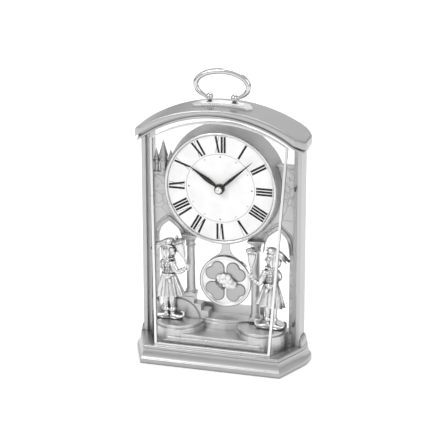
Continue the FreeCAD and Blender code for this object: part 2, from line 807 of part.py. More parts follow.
def column(x, foot_z):
    plinth = box(x - PLINTH_HALF, x + PLINTH_HALF, COLUMN_Y - PLINTH_HALF + SEAT,
                 COLUMN_Y + PLINTH_HALF - SEAT, foot_z, foot_z + PLINTH_H)
    z = foot_z + PLINTH_H
    necking = CAPITAL_Z
    bell_top = CAPITAL_TOP_Z - ABACUS_H
    profile = [(0, z), (SHAFT_R + TORUS_R, z), (SHAFT_R + TORUS_R, z + TORUS_R),
               (SHAFT_R, z + 2 * TORUS_R), (SHAFT_TOP_R, necking),
               (SHAFT_TOP_R + TORUS_R, necking + TORUS_R / 2), (SHAFT_TOP_R, necking + TORUS_R),
               (CAPITAL_DEPTH_HALF, bell_top), (0, bell_top)]
    shaft = turned(profile, V(x, COLUMN_Y, 0))
    abacus = box(x - CAPITAL_HALF, x + CAPITAL_HALF, COLUMN_Y - CAPITAL_DEPTH_HALF,
                 COLUMN_Y + CAPITAL_DEPTH_HALF, bell_top, CAPITAL_TOP_Z)
    return joined([plinth, shaft, abacus]).cut(drum_cone(SEAT))


# Castle walls
def drum_cone(grow):
    profile = [(0, 0), (DRUM_FRONT_R + grow, 0), (DRUM_BACK_R + grow, DRUM_BACK_Y - DIAL_Y),
               (0, DRUM_BACK_Y - DIAL_Y)]
    return turned(profile, V(0, DIAL_Y, DIAL_Z), Y_AXIS, DRUM_COUNT)


def arch_opening(grow, y0, y1):
    """Pointed arch between the pilaster and the column, on the right, widened by grow."""
    apex_x = (ARCH_INNER_X + wall_outer() - PILASTER_W) / 2 + ARCH_SKEW
    apex_z = ARCH_APEX_Z + grow
    sides = []
    for sign, foot in ((-1, ARCH_INNER_X - grow), (1, wall_outer() - PILASTER_W + grow)):
        bulge = V((foot + apex_x) / 2 + sign * ARCH_BULGE, 0, (SPRING_Z + apex_z) / 2 + ARCH_BULGE)
        curve = Part.Arc(V(foot, 0, SPRING_Z), bulge, V(apex_x, 0, apex_z)).toShape()
        ends = sorted(((p.x, p.z) for p in curve.discretize(CURVE_COUNT)), key=lambda p: p[1])
        sides.append([(foot, DECK_Z)] + ends)
    return sheet_xz(sides[0] + sides[1][::-1][1:], y0, y1)


def wall_outer():
    return POST_OUTER_X - POST_STILE_W - POST_FILLET_W


def castle_wall(top_z):
    """Right-hand wall: pilaster, pointed arch, spandrel on the column and a flat coping."""
    y0, y1 = WALL_FRONT_Y, WALL_FRONT_Y + WALL_T
    inner = COLUMN_X - CAPITAL_HALF
    wall = box(inner, wall_outer(), y0, y1, CAPITAL_TOP_Z, top_z)
    pier = box(ARCH_INNER_X, wall_outer(), y0, y1, DECK_Z, CAPITAL_TOP_Z)
    wall = wall.fuse(pier).cut(arch_opening(0, y0 - OVERRUN, y1 + OVERRUN))
    rib = arch_opening(ARCHIVOLT_W, y0 - ARCHIVOLT_T, y0)
    rib = rib.cut(arch_opening(0, y0 - ARCHIVOLT_T - OVERRUN, y1))
    low = box(0, wall_outer() + ARCHIVOLT_W, y0 - 2 * ARCHIVOLT_T, y1, DECK_Z - OVERRUN, CAPITAL_TOP_Z)
    rib = rib.cut(low).common(box(0, wall_outer(), y0 - ARCHIVOLT_T, y1, DECK_Z, top_z))
    coping = box(inner, wall_outer(), y0 - COPING_OUT, y1, top_z - COPING_H, top_z)
    cap = box(wall_outer() - PILASTER_W, wall_outer(), y0 - COPING_OUT, y1,
              SPRING_Z - COPING_H, SPRING_Z)
    return joined([wall, rib, coping, cap])


def tower(spec):
    inset, r, eaves, roof_r, tip = spec
    x = inset - wall_outer()
    y = WALL_FRONT_Y + WALL_T / 2
    collar = TOWER_COLLAR_Z
    profile = [(0, WALL_LEFT_Z - OVERRUN), (r, WALL_LEFT_Z - OVERRUN), (r, collar),
               (r + TOWER_COLLAR_OUT, collar), (r + TOWER_COLLAR_OUT, collar + TOWER_COLLAR_H),
               (r, collar + TOWER_COLLAR_H), (r, eaves), (roof_r, eaves), (0, tip)]
    return turned(profile, V(x, y, 0), Z_AXIS, TOWER_COUNT)


def castle_right():
    return castle_wall(WALL_RIGHT_Z).cut(drum_cone(SEAT))


def castle_left():
    wall = mirrored(castle_wall(WALL_LEFT_Z))
    towers = [tower(spec) for spec in (MAIN_TOWER, LEFT_TOWER, RIGHT_TOWER)]
    return joined([wall] + towers).cut(drum_cone(SEAT))


# Drum, bezel and dial
def drum_shell():
    outer = drum_cone(0)
    inner = drum_cone(-DRUM_WALL)
    inner = inner.common(box(-DRUM_BACK_R, DRUM_BACK_R, DIAL_Y, DRUM_BACK_Y - DRUM_WALL,
                             DIAL_Z - DRUM_BACK_R, DIAL_Z + DRUM_BACK_R))
    shell = outer.cut(inner)
    y0, y1 = DRUM_BACK_Y - DRUM_WALL - OVERRUN, DRUM_BACK_Y + OVERRUN
    half = DRUM_HOLE_HALF
    shell = shell.cut(box(-half, half, y0, y1, DIAL_Z - half, DIAL_Z + half))
    slot = box(-SLOT_HALF, SLOT_HALF, MOVE_BACK_Y + MOVE_COVER_T, DRUM_BACK_Y - DRUM_WALL,
               DIAL_Z - DRUM_BACK_R - OVERRUN, DIAL_Z - DRUM_FRONT_R + DRUM_WALL * 4)
    return shell.cut(slot)


def bezel():
    """Turned ring with a round front bead; it carries the dial against the drum."""
    depth = DIAL_Y - BEZEL_FRONT_Y
    mid = (BEZEL_IN_R + BEZEL_OUT_R) / 2
    profile = [(BEZEL_IN_R, 0), (BEZEL_IN_R, depth / 2), (mid, depth), (BEZEL_OUT_R, depth / 2),
               (BEZEL_OUT_R, 0)]
    return hoop(profile, V(0, DIAL_Y, DIAL_Z), V(0, -1, 0), DRUM_COUNT)


def dial():
    plate = stick(DIAL_R, V(0, DIAL_Y, DIAL_Z), Y_AXIS, DIAL_T, DRUM_COUNT)
    return plate.cut(stick(DIAL_HOLE_R, V(0, DIAL_Y - OVERRUN, DIAL_Z), Y_AXIS, DIAL_T + 2 * OVERRUN))


# Hands
def on_dial(flat, y, thick, angle):
    """Flat outline drawn pointing up at the dial centre, set at depth y and turned clockwise."""
    solid = flat.extrude(V(0, thick, 0))
    solid.rotate(V(0, 0, 0), Y_AXIS, angle)
    solid.translate(V(0, y, DIAL_Z))
    return solid


def outline(points):
    ring = [V(x, 0, z) for x, z in points] + [V(-x, 0, z) for x, z in reversed(points) if x > 0]
    return Part.Face(Part.makePolygon(ring + ring[:1]))


MINUTE_HAND_SHARES = ((0.0, -0.19), (0.030, -0.18), (0.022, 0.0), (0.036, 0.62), (0.0, 1.0))
HOUR_HAND_SHARES = ((0.0, -0.24), (0.042, -0.22), (0.030, 0.0), (0.030, 0.48), (0.085, 0.66),
                    (0.030, 0.82), (0.0, 1.0))
HUB_SHARE = 0.9


def hand(shares, length, y, angle, bore_r):
    blade = on_dial(outline([(w * length, t * length) for w, t in shares]), y, HAND_T, angle)
    hub = stick(CAP_R * HUB_SHARE, V(0, y, DIAL_Z), Y_AXIS, HAND_T)
    bore = rod(bore_r, V(0, y - OVERRUN, DIAL_Z), Y_AXIS, HAND_T + 2 * OVERRUN)
    return blade.fuse(hub).removeSplitter().cut(bore)


def hand_cap():
    steps = 5
    profile = [(0, 0), (CAP_R, 0)]
    for k in range(1, steps + 1):
        turn = math.radians(90) * k / steps
        profile.append((CAP_R * math.cos(turn) if k < steps else 0, CAP_H * math.sin(turn)))
    return turned(profile, V(0, MINUTE_HAND_Y, DIAL_Z), V(0, -1, 0), KNOB_COUNT)


# Motion work
TOOTH_TIP_SHARE = 0.20
TOOTH_ROOT_SHARE = 0.66
ADDENDUM_SHARE = 0.80
DEDENDUM_SHARE = 1.20


def gear(teeth, pitch_r, thick, centre, phase):
    """Spur gear with tapered teeth along +Y from centre; phase turns a tooth from +Z."""
    module = 2 * pitch_r / teeth
    tip, root = pitch_r + ADDENDUM_SHARE * module, pitch_r - DEDENDUM_SHARE * module
    step = 2 * math.pi / teeth
    ring = []
    for k in range(teeth):
        mid = k * step + phase
        for share, r in ((-TOOTH_ROOT_SHARE, root), (-TOOTH_TIP_SHARE, tip),
                         (TOOTH_TIP_SHARE, tip), (TOOTH_ROOT_SHARE, root)):
            a = mid + share * step / 2
            ring.append(V(centre.x + r * math.sin(a), centre.y, centre.z + r * math.cos(a)))
    return Part.Face(Part.makePolygon(ring + ring[:1])).extrude(V(0, thick, 0))


def first_pitch():
    """Pitch radii of cannon pinion and minute wheel."""
    total = CANNON_TEETH + MINUTE_WHEEL_TEETH
    return WORK_CENTRES * CANNON_TEETH / total, WORK_CENTRES * MINUTE_WHEEL_TEETH / total


def second_pitch():
    """Pitch radii of the pinion on the minute wheel and of the hour wheel."""
    total = WHEEL_PINION_TEETH + HOUR_WHEEL_TEETH
    return WORK_CENTRES * WHEEL_PINION_TEETH / total, WORK_CENTRES * HOUR_WHEEL_TEETH / total


def hour_wheel_y():
    return MOVE_FRONT_Y + MOVE_WALL + WORK_GAP


def minute_wheel_y():
    return hour_wheel_y() + WHEEL_T + WORK_GAP


def wheel_axis(y):
    return V(WORK_CENTRES, y, DIAL_Z)


def hour_wheel():
    y = hour_wheel_y()
    wheel = gear(HOUR_WHEEL_TEETH, second_pitch()[1], WHEEL_T, V(0, y, DIAL_Z), math.pi / 2)
    tube = rod(HOUR_TUBE_R, V(0, HOUR_HAND_Y, DIAL_Z), Y_AXIS, y + WHEEL_T - HOUR_HAND_Y)
    bore = rod(MINUTE_TUBE_R + RUN_CLEAR, V(0, HOUR_HAND_Y - OVERRUN, DIAL_Z), Y_AXIS,
               y + WHEEL_T - HOUR_HAND_Y + 2 * OVERRUN)
    return wheel.fuse(tube).removeSplitter().cut(bore)


def minute_arbor():
    y = minute_wheel_y()
    pinion = gear(CANNON_TEETH, first_pitch()[0], PINION_T, V(0, y, DIAL_Z), math.pi / 2)
    stem = rod(MINUTE_TUBE_R, V(0, MINUTE_HAND_Y, DIAL_Z), Y_AXIS,
               MOVE_BACK_Y - MINUTE_HAND_Y - WORK_GAP)
    return pinion.fuse(stem).removeSplitter()


def minute_wheel():
    """Wheel and pinion whose gaps face the dial's axis, on the setting knob's stem."""
    y = minute_wheel_y()
    y_low = hour_wheel_y() - WORK_GAP / 2
    facing = math.radians(270)
    wheel = gear(MINUTE_WHEEL_TEETH, first_pitch()[1], WHEEL_T, wheel_axis(y),
                 facing + math.pi / MINUTE_WHEEL_TEETH)
    pinion = gear(WHEEL_PINION_TEETH, second_pitch()[0], y - y_low, wheel_axis(y_low),
                  facing + math.pi / WHEEL_PINION_TEETH)
    stem = rod(KNOB_STEM_R, wheel_axis(y), Y_AXIS, knob_y() - y)
    return joined([wheel, pinion, stem])


def knob_y():
    return MOVE_BACK_Y + MOVE_COVER_T + FREE_CLEAR


def set_knob():
    """Finger knob with flat sides and a waist."""
    waist = KNOB_R * 0.85
    profile = [(0, 0), (KNOB_R, 0), (KNOB_R, KNOB_T / 4), (waist, KNOB_T / 2),
               (KNOB_R, KNOB_T * 3 / 4), (KNOB_R, KNOB_T), (0, KNOB_T)]
    return turned(profile, wheel_axis(knob_y()), Y_AXIS, KNOB_COUNT)


# Movement
def movement_block(inset, y0, y1):
    half = MOVE_HALF - inset
    corners = [(-half, -half), (half, -half), (half, half), (-half, half)]
    points = rounded(corners, [MOVE_CORNER_R - inset] * 4)
    return sheet_xz([(x, DIAL_Z + z) for x, z in points], y0, y1)


def battery_x():
    return -(MOVE_HALF - MOVE_WALL - FREE_CLEAR - BATTERY_R)


def bay_wall_x():
    return battery_x() + BATTERY_R + FREE_CLEAR


def movement_case():
    """Square case, open at the back, with a battery bay on one side and a threaded bush."""
    body = movement_block(0, MOVE_FRONT_Y, MOVE_BACK_Y)
    body = body.cut(movement_block(MOVE_WALL, MOVE_FRONT_Y + MOVE_WALL, MOVE_BACK_Y + OVERRUN))
    y0 = hour_wheel_y() + WHEEL_T + FREE_CLEAR
    bay_wall = box(bay_wall_x(), bay_wall_x() + MOVE_WALL, y0, MOVE_BACK_Y,
                   DIAL_Z - MOVE_HALF + MOVE_WALL / 2, DIAL_Z + MOVE_HALF - MOVE_WALL / 2)
    bush = stick(BUSH_R, V(0, BUSH_FRONT_Y, DIAL_Z), Y_AXIS, MOVE_FRONT_Y + MOVE_WALL - BUSH_FRONT_Y)
    body = joined([body, bay_wall, bush])
    bore = rod(HOUR_TUBE_R + RUN_CLEAR, V(0, BUSH_FRONT_Y - OVERRUN, DIAL_Z), Y_AXIS,
               MOVE_FRONT_Y + MOVE_WALL - BUSH_FRONT_Y + 2 * OVERRUN)
    return body.cut(bore)


def dial_nut():
    nut = stick(DIAL_NUT_R, V(0, DIAL_Y - DIAL_NUT_T, DIAL_Z), Y_AXIS, DIAL_NUT_T)
    return nut.cut(stick(BUSH_R, V(0, 0, DIAL_Z), Y_AXIS, DIAL_Y + OVERRUN))


def movement_cover():
    """Back cover over the works; it stops at the battery bay and carries the pivot pin."""
    y0 = MOVE_BACK_Y
    cover = movement_block(0, y0, y0 + MOVE_COVER_T)
    cover = cover.common(box(bay_wall_x(), MOVE_HALF, y0, y0 + MOVE_COVER_T, 0, LIP_APEX_Z))
    through = MOVE_COVER_T + 2 * OVERRUN
    cover = cover.cut(rod(KNOB_STEM_R + RUN_CLEAR, wheel_axis(y0 - OVERRUN), Y_AXIS, through))
    return cover.cut(rod(PIVOT_R, V(0, y0 - OVERRUN, PIVOT_Z), Y_AXIS, through))


def pivot_pin():
    y0 = MOVE_BACK_Y
    y1 = ARM_Y + ARM_T + SEAT
    pin = rod(PIVOT_R, V(0, y0, PIVOT_Z), Y_AXIS, y1 - y0)
    head = stick(PIVOT_R * 2, V(0, y1, PIVOT_Z), Y_AXIS, PIVOT_HEAD_T)
    return pin.fuse(head).removeSplitter()


def battery():
    profile = [(0, 0), (BATTERY_R, 0), (BATTERY_R, BATTERY_L), (BATTERY_TIP_R, BATTERY_L),
               (BATTERY_TIP_R, BATTERY_L + BATTERY_TIP_L), (0, BATTERY_L + BATTERY_TIP_L)]
    low = DIAL_Z - (BATTERY_L + BATTERY_TIP_L) / 2
    return turned(profile, V(battery_x(), MOVE_BACK_Y - BATTERY_R, low), Z_AXIS, 2 * BAR_COUNT)


def motor_coil():
    """Wound spool between two flanges."""
    flange_r, flange = COIL_R + FREE_CLEAR, COIL_R / 3
    profile = [(0, 0), (flange_r, 0), (flange_r, flange), (COIL_R, flange), (COIL_R, COIL_L - flange),
               (flange_r, COIL_L - flange), (flange_r, COIL_L), (0, COIL_L)]
    y = MOVE_FRONT_Y + MOVE_WALL + COIL_R + FREE_CLEAR
    return turned(profile, V(COIL_X - COIL_L / 2, y, DIAL_Z - COIL_Z), X_AXIS)


def circuit_board():
    y = MOVE_BACK_Y - BOARD_T
    x0 = MOVE_HALF - MOVE_WALL - SEAT - BOARD_W
    z0 = DIAL_Z - COIL_Z
    return box(x0, x0 + BOARD_W, y, y + BOARD_T, z0, z0 + BOARD_H)


# Pendulum
def pendulum_arm():
    """Flat arm from the pivot eye down to a yoke that flares over the ring's top."""
    y0, y1 = ARM_Y, ARM_Y + ARM_T
    neck_z = RING_Z + RING_R + YOKE_DROP
    foot_z = RING_Z + math.sqrt(RING_R ** 2 - YOKE_HALF ** 2)
    flare = Part.Arc(V(ARM_HALF, 0, neck_z),
                     V(ARM_HALF + (YOKE_HALF - ARM_HALF) / 4, 0, neck_z - YOKE_DROP * 3 / 4),
                     V(YOKE_HALF, 0, foot_z)).toShape().discretize(CURVE_COUNT)
    side = sorted(((p.x, p.z) for p in flare), key=lambda p: -p[1])
    dip = [(YOKE_HALF / 2, RING_Z + RING_R - RING_BAND / 2), (0, RING_Z + RING_R - RING_BAND)]
    right = [(ARM_HALF, PIVOT_Z)] + side + dip
    left = [(-x, z) for x, z in reversed(right[:-1])]
    blade = sheet_xz(right + left, y0, y1)
    arm = joined([blade, stick(ARM_EYE_R, V(0, y0, PIVOT_Z), Y_AXIS, ARM_T)])
    return arm.cut(rod(PIVOT_R + RUN_CLEAR, V(0, y0 - OVERRUN, PIVOT_Z), Y_AXIS, ARM_T + 2 * OVERRUN))


def pendulum_ring():
    """Round plate with a raised rim, bevelled on both edges."""
    inner = RING_R - RING_BAND
    bevel = RING_BAND / 4
    profile = [(0, 0), (RING_R, 0), (RING_R, RING_T - bevel), (RING_R - bevel, RING_T),
               (inner + bevel, RING_T), (inner, RING_T - bevel), (inner, WEB_T), (0, WEB_T)]
    return turned(profile, V(0, ARM_Y, RING_Z), V(0, -1, 0), DISC_COUNT)


def pendulum_petals():
    """Four heart-shaped petals on the diagonals that meet under the stone."""
    y0 = ARM_Y - WEB_T - PETAL_T
    near, far, r = PETAL_LOBE_NEAR, PETAL_LOBE_FAR, PETAL_LOBE_R
    last = math.acos((far - near) / math.sqrt(2) / r) - math.pi / 4
    lobe = []
    for k in range(CURVE_COUNT + 1):
        a = math.pi + (last - math.pi) * k / CURVE_COUNT
        lobe.append((near + r * math.cos(a), far + r * math.sin(a)))
    heart_points = [(0, 0)] + lobe + [(z, x) for x, z in reversed(lobe[:-1])]
    pieces = [stick(near, V(0, y0, RING_Z), Y_AXIS, PETAL_T)]
    for k in range(4):
        heart = sheet_xz(heart_points, y0, y0 + PETAL_T)
        heart.rotate(V(0, 0, 0), Y_AXIS, 90 * k)
        heart.translate(V(0, 0, RING_Z))
        pieces.append(heart)
    return joined(pieces)


def pendulum_gem():
    """Cut stone on the petals' middle: a faceted button, wider than high."""
    y0 = ARM_Y - WEB_T - PETAL_T
    turns = [2 * math.pi * k / BAR_COUNT for k in range(BAR_COUNT)]
    rings = []
    for r, depth in ((GEM_R, 0), (GEM_R, GEM_T / 4), (GEM_R / 2, GEM_T)):
        rings.append([V(r * GEM_WIDE_SHARE * math.cos(a), y0 - depth, RING_Z + r * math.sin(a))
                      for a in turns])
    return skinned(rings)


def pendulum_magnet():
    return stick(MAGNET_R, V(0, ARM_Y - MAGNET_T, MAGNET_Z), Y_AXIS, MAGNET_T)


# Handle
def plate_z(x, extra):
    return along(arch_line(TOP_R, TOP_APEX_Z, extra), x)


def handle_plate():
    """Plate on the crown's curve with a point and two shoulders at each end."""
    mid = (PLATE_FRONT_Y + PLATE_BACK_Y) / 2
    half = PLATE_HALF
    points = [(half - PLATE_NOTCH, PLATE_FRONT_Y), (half - PLATE_NOTCH / 2, PLATE_FRONT_Y + PLATE_NOTCH),
              (half, mid), (half - PLATE_NOTCH / 2, PLATE_BACK_Y - PLATE_NOTCH),
              (half - PLATE_NOTCH, PLATE_BACK_Y)]
    points = points + [(-x, y) for x, y in reversed(points)]
    plate = slab(points, DIAL_Z, HANDLE_TOP_Z).common(under_arch(TOP_R, TOP_APEX_Z, PLATE_T))
    plate = plate.cut(under_arch(TOP_R, TOP_APEX_Z))
    for sx in (-1, 1):
        plate = plate.cut(stick(STUD_R + SEAT, V(sx * HANDLE_POST_X, HANDLE_Y, DIAL_Z), Z_AXIS, LIP_APEX_Z))
    return plate


def handle_post():
    """Right-hand ball post: stud, foot, neck and ball, bored for the handle's pin."""
    foot = plate_z(HANDLE_POST_X - BALL_R, PLATE_T)
    neck_r = BALL_R * 0.6
    profile = [(0, foot - STUD_L), (STUD_R, foot - STUD_L), (STUD_R, foot), (BALL_R, foot),
               (BALL_R, foot + SEAT * 3), (neck_r, foot + SEAT * 6)]
    steps = CURVE_COUNT
    first = math.asin(neck_r / BALL_R)
    for k in range(steps + 1):
        a = math.pi - first - (math.pi - first) * k / steps
        profile.append((BALL_R * math.sin(a) if k < steps else 0,
                        HANDLE_PIVOT_Z + BALL_R * math.cos(a)))
    body = turned(profile, V(HANDLE_POST_X, HANDLE_Y, 0))
    bore = rod(PIVOT_PIN_R + RUN_CLEAR, V(HANDLE_POST_X - BALL_R + PIVOT_PIN_R, HANDLE_Y, HANDLE_PIVOT_Z),
               X_AXIS, 2 * BALL_R)
    return body.cut(bore)


def handle_nuts():
    """Nuts on the posts' studs, under the crown's skin."""
    top = plate_z(HANDLE_POST_X + NUT_R, -CROWN_SKIN) - SEAT
    turns = [2 * math.pi * k / NUT_COUNT for k in range(NUT_COUNT)]
    ring = [V(HANDLE_POST_X + NUT_R * math.cos(a), HANDLE_Y + NUT_R * math.sin(a), top) for a in turns]
    nut = Part.Face(Part.makePolygon(ring + ring[:1])).extrude(V(0, 0, -NUT_H))
    nut = nut.cut(stick(STUD_R, V(HANDLE_POST_X, HANDLE_Y, DIAL_Z), Z_AXIS, LIP_APEX_Z))
    return both_sides(nut)


def handle_bail():
    """Oval bail, thick at the top and thin where its ends curl in to the ball posts."""
    half_high = (HANDLE_TOP_Z - HANDLE_PIVOT_Z + HANDLE_DIP) / 2
    middle = HANDLE_TOP_Z - half_high
    end_x = HANDLE_POST_X + BALL_R + SEAT
    last = math.pi - math.asin(end_x / HANDLE_HALF)
    rings = []
    for k in range(BAIL_SECTIONS):
        share = -1 + 2 * k / (BAIL_SECTIONS - 1)
        turn = last * share
        spot = V(HANDLE_HALF * math.sin(turn), HANDLE_Y, middle + half_high * math.cos(turn))
        onward = V(HANDLE_HALF * math.cos(turn), 0, -half_high * math.sin(turn))
        out = onward.cross(Y_AXIS).normalize()
        r = HANDLE_TOP_R + (HANDLE_END_R - HANDLE_TOP_R) * share ** 4
        turns = [2 * math.pi * i / BAIL_COUNT for i in range(BAIL_COUNT)]
        rings.append([spot + (out * math.cos(a) + Y_AXIS * math.sin(a)) * r for a in turns])
    bail = skinned(rings)
    pin = rod(PIVOT_PIN_R, V(end_x - PIVOT_PIN_L, HANDLE_Y, HANDLE_PIVOT_Z), X_AXIS, PIVOT_PIN_L)
    collar_r = PIVOT_PIN_R + SEAT
    neck = stick(collar_r, V(end_x - SEAT / 2, HANDLE_Y, HANDLE_PIVOT_Z), X_AXIS, HANDLE_END_R)
    return joined([bail, pin, neck, mirrored(pin), mirrored(neck)])


# Figures
def tube(path, radii):
    """Faceted round limb through the given points, one radius for each point."""
    points = [V(*p) for p in path]
    turns = [2 * math.pi * k / LIMB_COUNT for k in range(LIMB_COUNT)]
    rings = []
    for i, p in enumerate(points):
        before, after = points[max(i - 1, 0)], points[min(i + 1, len(points) - 1)]
        side = (after - before).cross(Y_AXIS).normalize()
        over = side.cross(after - before).normalize()
        rings.append([p + (side * math.cos(a) + over * math.sin(a)) * radii[i] for a in turns])
    return skinned(rings)


def oval(x, y, z, half_x, half_y, waves=0, depth=0.0):
    """Ring of points round an oval, with waves folds of the given share of its size."""
    count = waves * 2 or OVAL_COUNT
    points = []
    for k in range(count):
        a = 2 * math.pi * k / count
        grow = 1 + depth * math.cos(waves * a)
        points.append(V(x + half_x * grow * math.cos(a), y + half_y * grow * math.sin(a), z))
    return points


def lathe_at(profile, x):
    return turned(profile, V(x, 0, 0), Z_AXIS, OVAL_COUNT)


def ball(r, x, y, z):
    """Faceted ball."""
    steps = 4
    rings = [[V(x, y, z - r)]]
    for k in range(1, steps):
        tilt = math.pi * k / steps
        turns = [2 * math.pi * i / LIMB_COUNT for i in range(LIMB_COUNT)]
        rings.append([V(x + r * math.sin(tilt) * math.cos(a), y + r * math.sin(tilt) * math.sin(a),
                        z - r * math.cos(tilt)) for a in turns])
    return skinned(rings + [[V(x, y, z + r)]])


def tunic():
    """Pleated skirt, belt and chest."""
    rise = WAIST_Z - HEM_Z
    skirt = []
    for share in (0.0, 0.5, 1.0):
        flare = (1 - share) ** 1.2
        skirt.append(oval(0, 0, HEM_Z + rise * share, WAIST_HALF + (HEM_HALF - WAIST_HALF) * flare,
                          WAIST_DEPTH + (HEM_DEPTH - WAIST_DEPTH) * flare, PLEATS,
                          PLEAT_SHARE * (1 - share * 0.8)))
    belt = [oval(0, 0, z, WAIST_HALF * 1.08, WAIST_DEPTH * 1.1)
            for z in (WAIST_Z - BELT_H / 4, WAIST_Z + BELT_H * 3 / 4)]
    chest = [oval(0, 0, WAIST_Z, WAIST_HALF * 0.94, WAIST_DEPTH * 0.94),
             oval(0, 0, (WAIST_Z + CHEST_Z) / 2, CHEST_HALF * 0.93, CHEST_DEPTH * 0.97),
             oval(0, 0, CHEST_Z, CHEST_HALF, CHEST_DEPTH),
             oval(0, 0, NECK_Z - COLLAR_H / 2, NECK_R * 1.7, NECK_R * 1.4)]
    return joined([skinned(skirt), skinned(belt), skinned(chest)])


def head():
    """Head turned to +X with plain features, bobbed hair and a neck."""
    skull = ball(HEAD_R, HEAD_X, 0, HEAD_Z)
    jaw = tube([(HEAD_X + HEAD_R * 0.1, 0, HEAD_Z), (HEAD_X + HEAD_R * 0.35, 0, HEAD_Z - HEAD_R * 0.6),
                (HEAD_X + HEAD_R * 0.5, 0, HEAD_Z - HEAD_R * 1.15)],
               [HEAD_R * 0.9, HEAD_R * 0.72, HEAD_R * 0.38])
    nose = tube([(HEAD_X + HEAD_R * 0.8, 0, HEAD_Z + HEAD_R * 0.3),
                 (HEAD_X + HEAD_R, 0, HEAD_Z - HEAD_R * 0.1),
                 (HEAD_X + HEAD_R + NOSE_OUT * 0.4, 0, HEAD_Z - HEAD_R * 0.3)],
                [HEAD_R * 0.12, HEAD_R * 0.15, HEAD_R * 0.16])
    neck = skinned([oval(0, 0, z, NECK_R, NECK_R) for z in (NECK_Z - COLLAR_H, HEAD_Z - HEAD_R / 2)])
    hair = lathe_at([(0, HAIR_LOW_Z), (HAIR_R * 0.9, HAIR_LOW_Z), (HAIR_R * 1.04, HAIR_LOW_Z + COLLAR_H),
                     (HAIR_R, HEAD_Z), (HAIR_R * 0.8, HEAD_Z + HEAD_R * 0.8), (0, HEAD_Z + HEAD_R * 1.1)],
                    HEAD_X - HAIR_R * 0.2)
    face_x = HEAD_X + HEAD_R * 0.3
    hair = hair.cut(box(face_x, HAIR_R * 2, -HAIR_R * 2, HAIR_R * 2, 0, HEAD_Z + HEAD_R * 2))
    return joined([skull, jaw, nose, neck, hair])


def hat():
    """Soft cap that droops to a tail behind the head, over a rolled brim."""
    top = HEAD_Z + HEAD_R * 1.2
    crown_part = tube([(HEAD_X + HAT_R * 0.62, 0, top + HAT_R * 0.02), (HEAD_X, 0, top + HAT_R * 0.06),
                       (HEAD_X - HAT_R, 0, top), (HEAD_X - HAT_R * 1.9, 0, top - HAT_R * 0.55),
                       (HEAD_X - HAT_R * 2.6, 0, top - HAT_R)],
                      [HAT_R * 0.62, HAT_R * 0.92, HAT_R * 0.95, HAT_R * 0.62, HAT_R * 0.24])
    brim = lathe_at([(0, top - HAT_R * 0.5), (HAIR_R * 0.98, top - HAT_R * 0.6),
                     (HAIR_R * 1.08, top - HAT_R * 0.3), (HAIR_R, top), (0, top)], HEAD_X - HAIR_R * 0.1)
    return crown_part.fuse(brim)


def collar():
    low = NECK_Z - COLLAR_H * 1.2
    return lathe_at([(0, low), (COLLAR_R, low), (COLLAR_R * 1.05, low + COLLAR_H / 2),
                     (COLLAR_R * 0.8, low + COLLAR_H), (0, low + COLLAR_H * 1.2)], 0)


def leg_and_shoe(side):
    x = side * LEG_X
    leg = tube([(x, 0, HEM_Z + BELT_H), (x, 0, HEM_Z * 0.6), (x, 0, HEM_Z * 0.28), (x, 0, SHOE_R)],
               [LEG_R, LEG_R * 0.86, ANKLE_R, ANKLE_R * 1.05])
    tip = SHOE_TIP_X
    shoe = tube([(x - side * SHOE_R * 0.6, 0, SHOE_R * 0.72), (x + side * SHOE_R, 0, SHOE_R * 0.8),
                 (side * tip * 0.72, -SHOE_R * 0.3, SHOE_R * 0.74),
                 (side * tip, -SHOE_R * 0.5, SHOE_TIP_Z * 0.6),
                 (side * tip * 0.93, -SHOE_R * 0.5, SHOE_TIP_Z)],
                [SHOE_R * 0.9, SHOE_R * 1.1, SHOE_R * 0.8, SHOE_R * 0.46, SHOE_R * 0.3])
    below = box(-tip * 2, tip * 2, -HEM_DEPTH, HEM_DEPTH, -SHOE_TIP_Z, 0)
    return leg.fuse(shoe).cut(below)


def arms(grip):
    """Bent arm whose fist holds the cup, and the other one behind the back."""
    gx, gz = grip
    shoulder_z = CHEST_Z + ARM_R * 0.2
    hold = tube([(CHEST_HALF * 0.6, 0, shoulder_z), (gx * 0.46, -ARM_R * 0.9, CHEST_Z - ARM_R * 1.5),
                 (gx * 0.68, -ARM_R * 1.3, gz - ARM_R * 1.7), (gx, -ARM_R * 1.3, gz)],
                [ARM_R, ARM_R, ARM_R * 0.9, WRIST_R])
    fist = ball(FIST_R, gx, -ARM_R * 1.3, gz)
    rest_z = WAIST_Z + BELT_H
    rest = tube([(-CHEST_HALF * 0.7, 0, shoulder_z), (-CHEST_HALF, ARM_R, CHEST_Z - ARM_R * 2),
                 (-CHEST_HALF * 0.7, CHEST_DEPTH, rest_z), (0, CHEST_DEPTH * 1.2, rest_z)],
                [ARM_R, ARM_R * 0.9, ARM_R * 0.7, WRIST_R])
    return hold.fuse(fist).fuse(rest)


def covered_cup(grip, lean_deg, grow=0.0):
    """Tall lidded cup, leaning by lean_deg, held near the foot of its stem."""
    low = CUP_STEM_R + grow
    mouth = CUP_L
    ball = CUP_BALL_R + grow
    profile = [(0, -ball), (ball * 0.72, -ball * 0.7), (ball, 0), (ball * 0.72, ball * 0.7),
               (low, ball), (low, mouth * 0.42), (CUP_R * 0.6 + grow, mouth * 0.6),
               (CUP_R * 0.74 + grow, mouth * 0.9), (CUP_R + grow, mouth), (CUP_R + grow, mouth + CUP_STEM_R),
               (CUP_R * 0.5, mouth + CUP_STEM_R * 2.4), (low, mouth + CUP_STEM_R * 3),
               (ball, mouth + CUP_STEM_R * 3 + ball), (low, mouth + CUP_STEM_R * 3 + ball * 1.9),
               (0, mouth + CUP_STEM_R * 3 + ball * 2)]
    cup = turned(profile, V(0, 0, -CUP_GRIP), Z_AXIS, CUP_COUNT)
    cup.rotate(V(0, 0, 0), Y_AXIS, lean_deg)
    cup.translate(V(grip[0], -ARM_R * 1.3, grip[1]))
    return cup


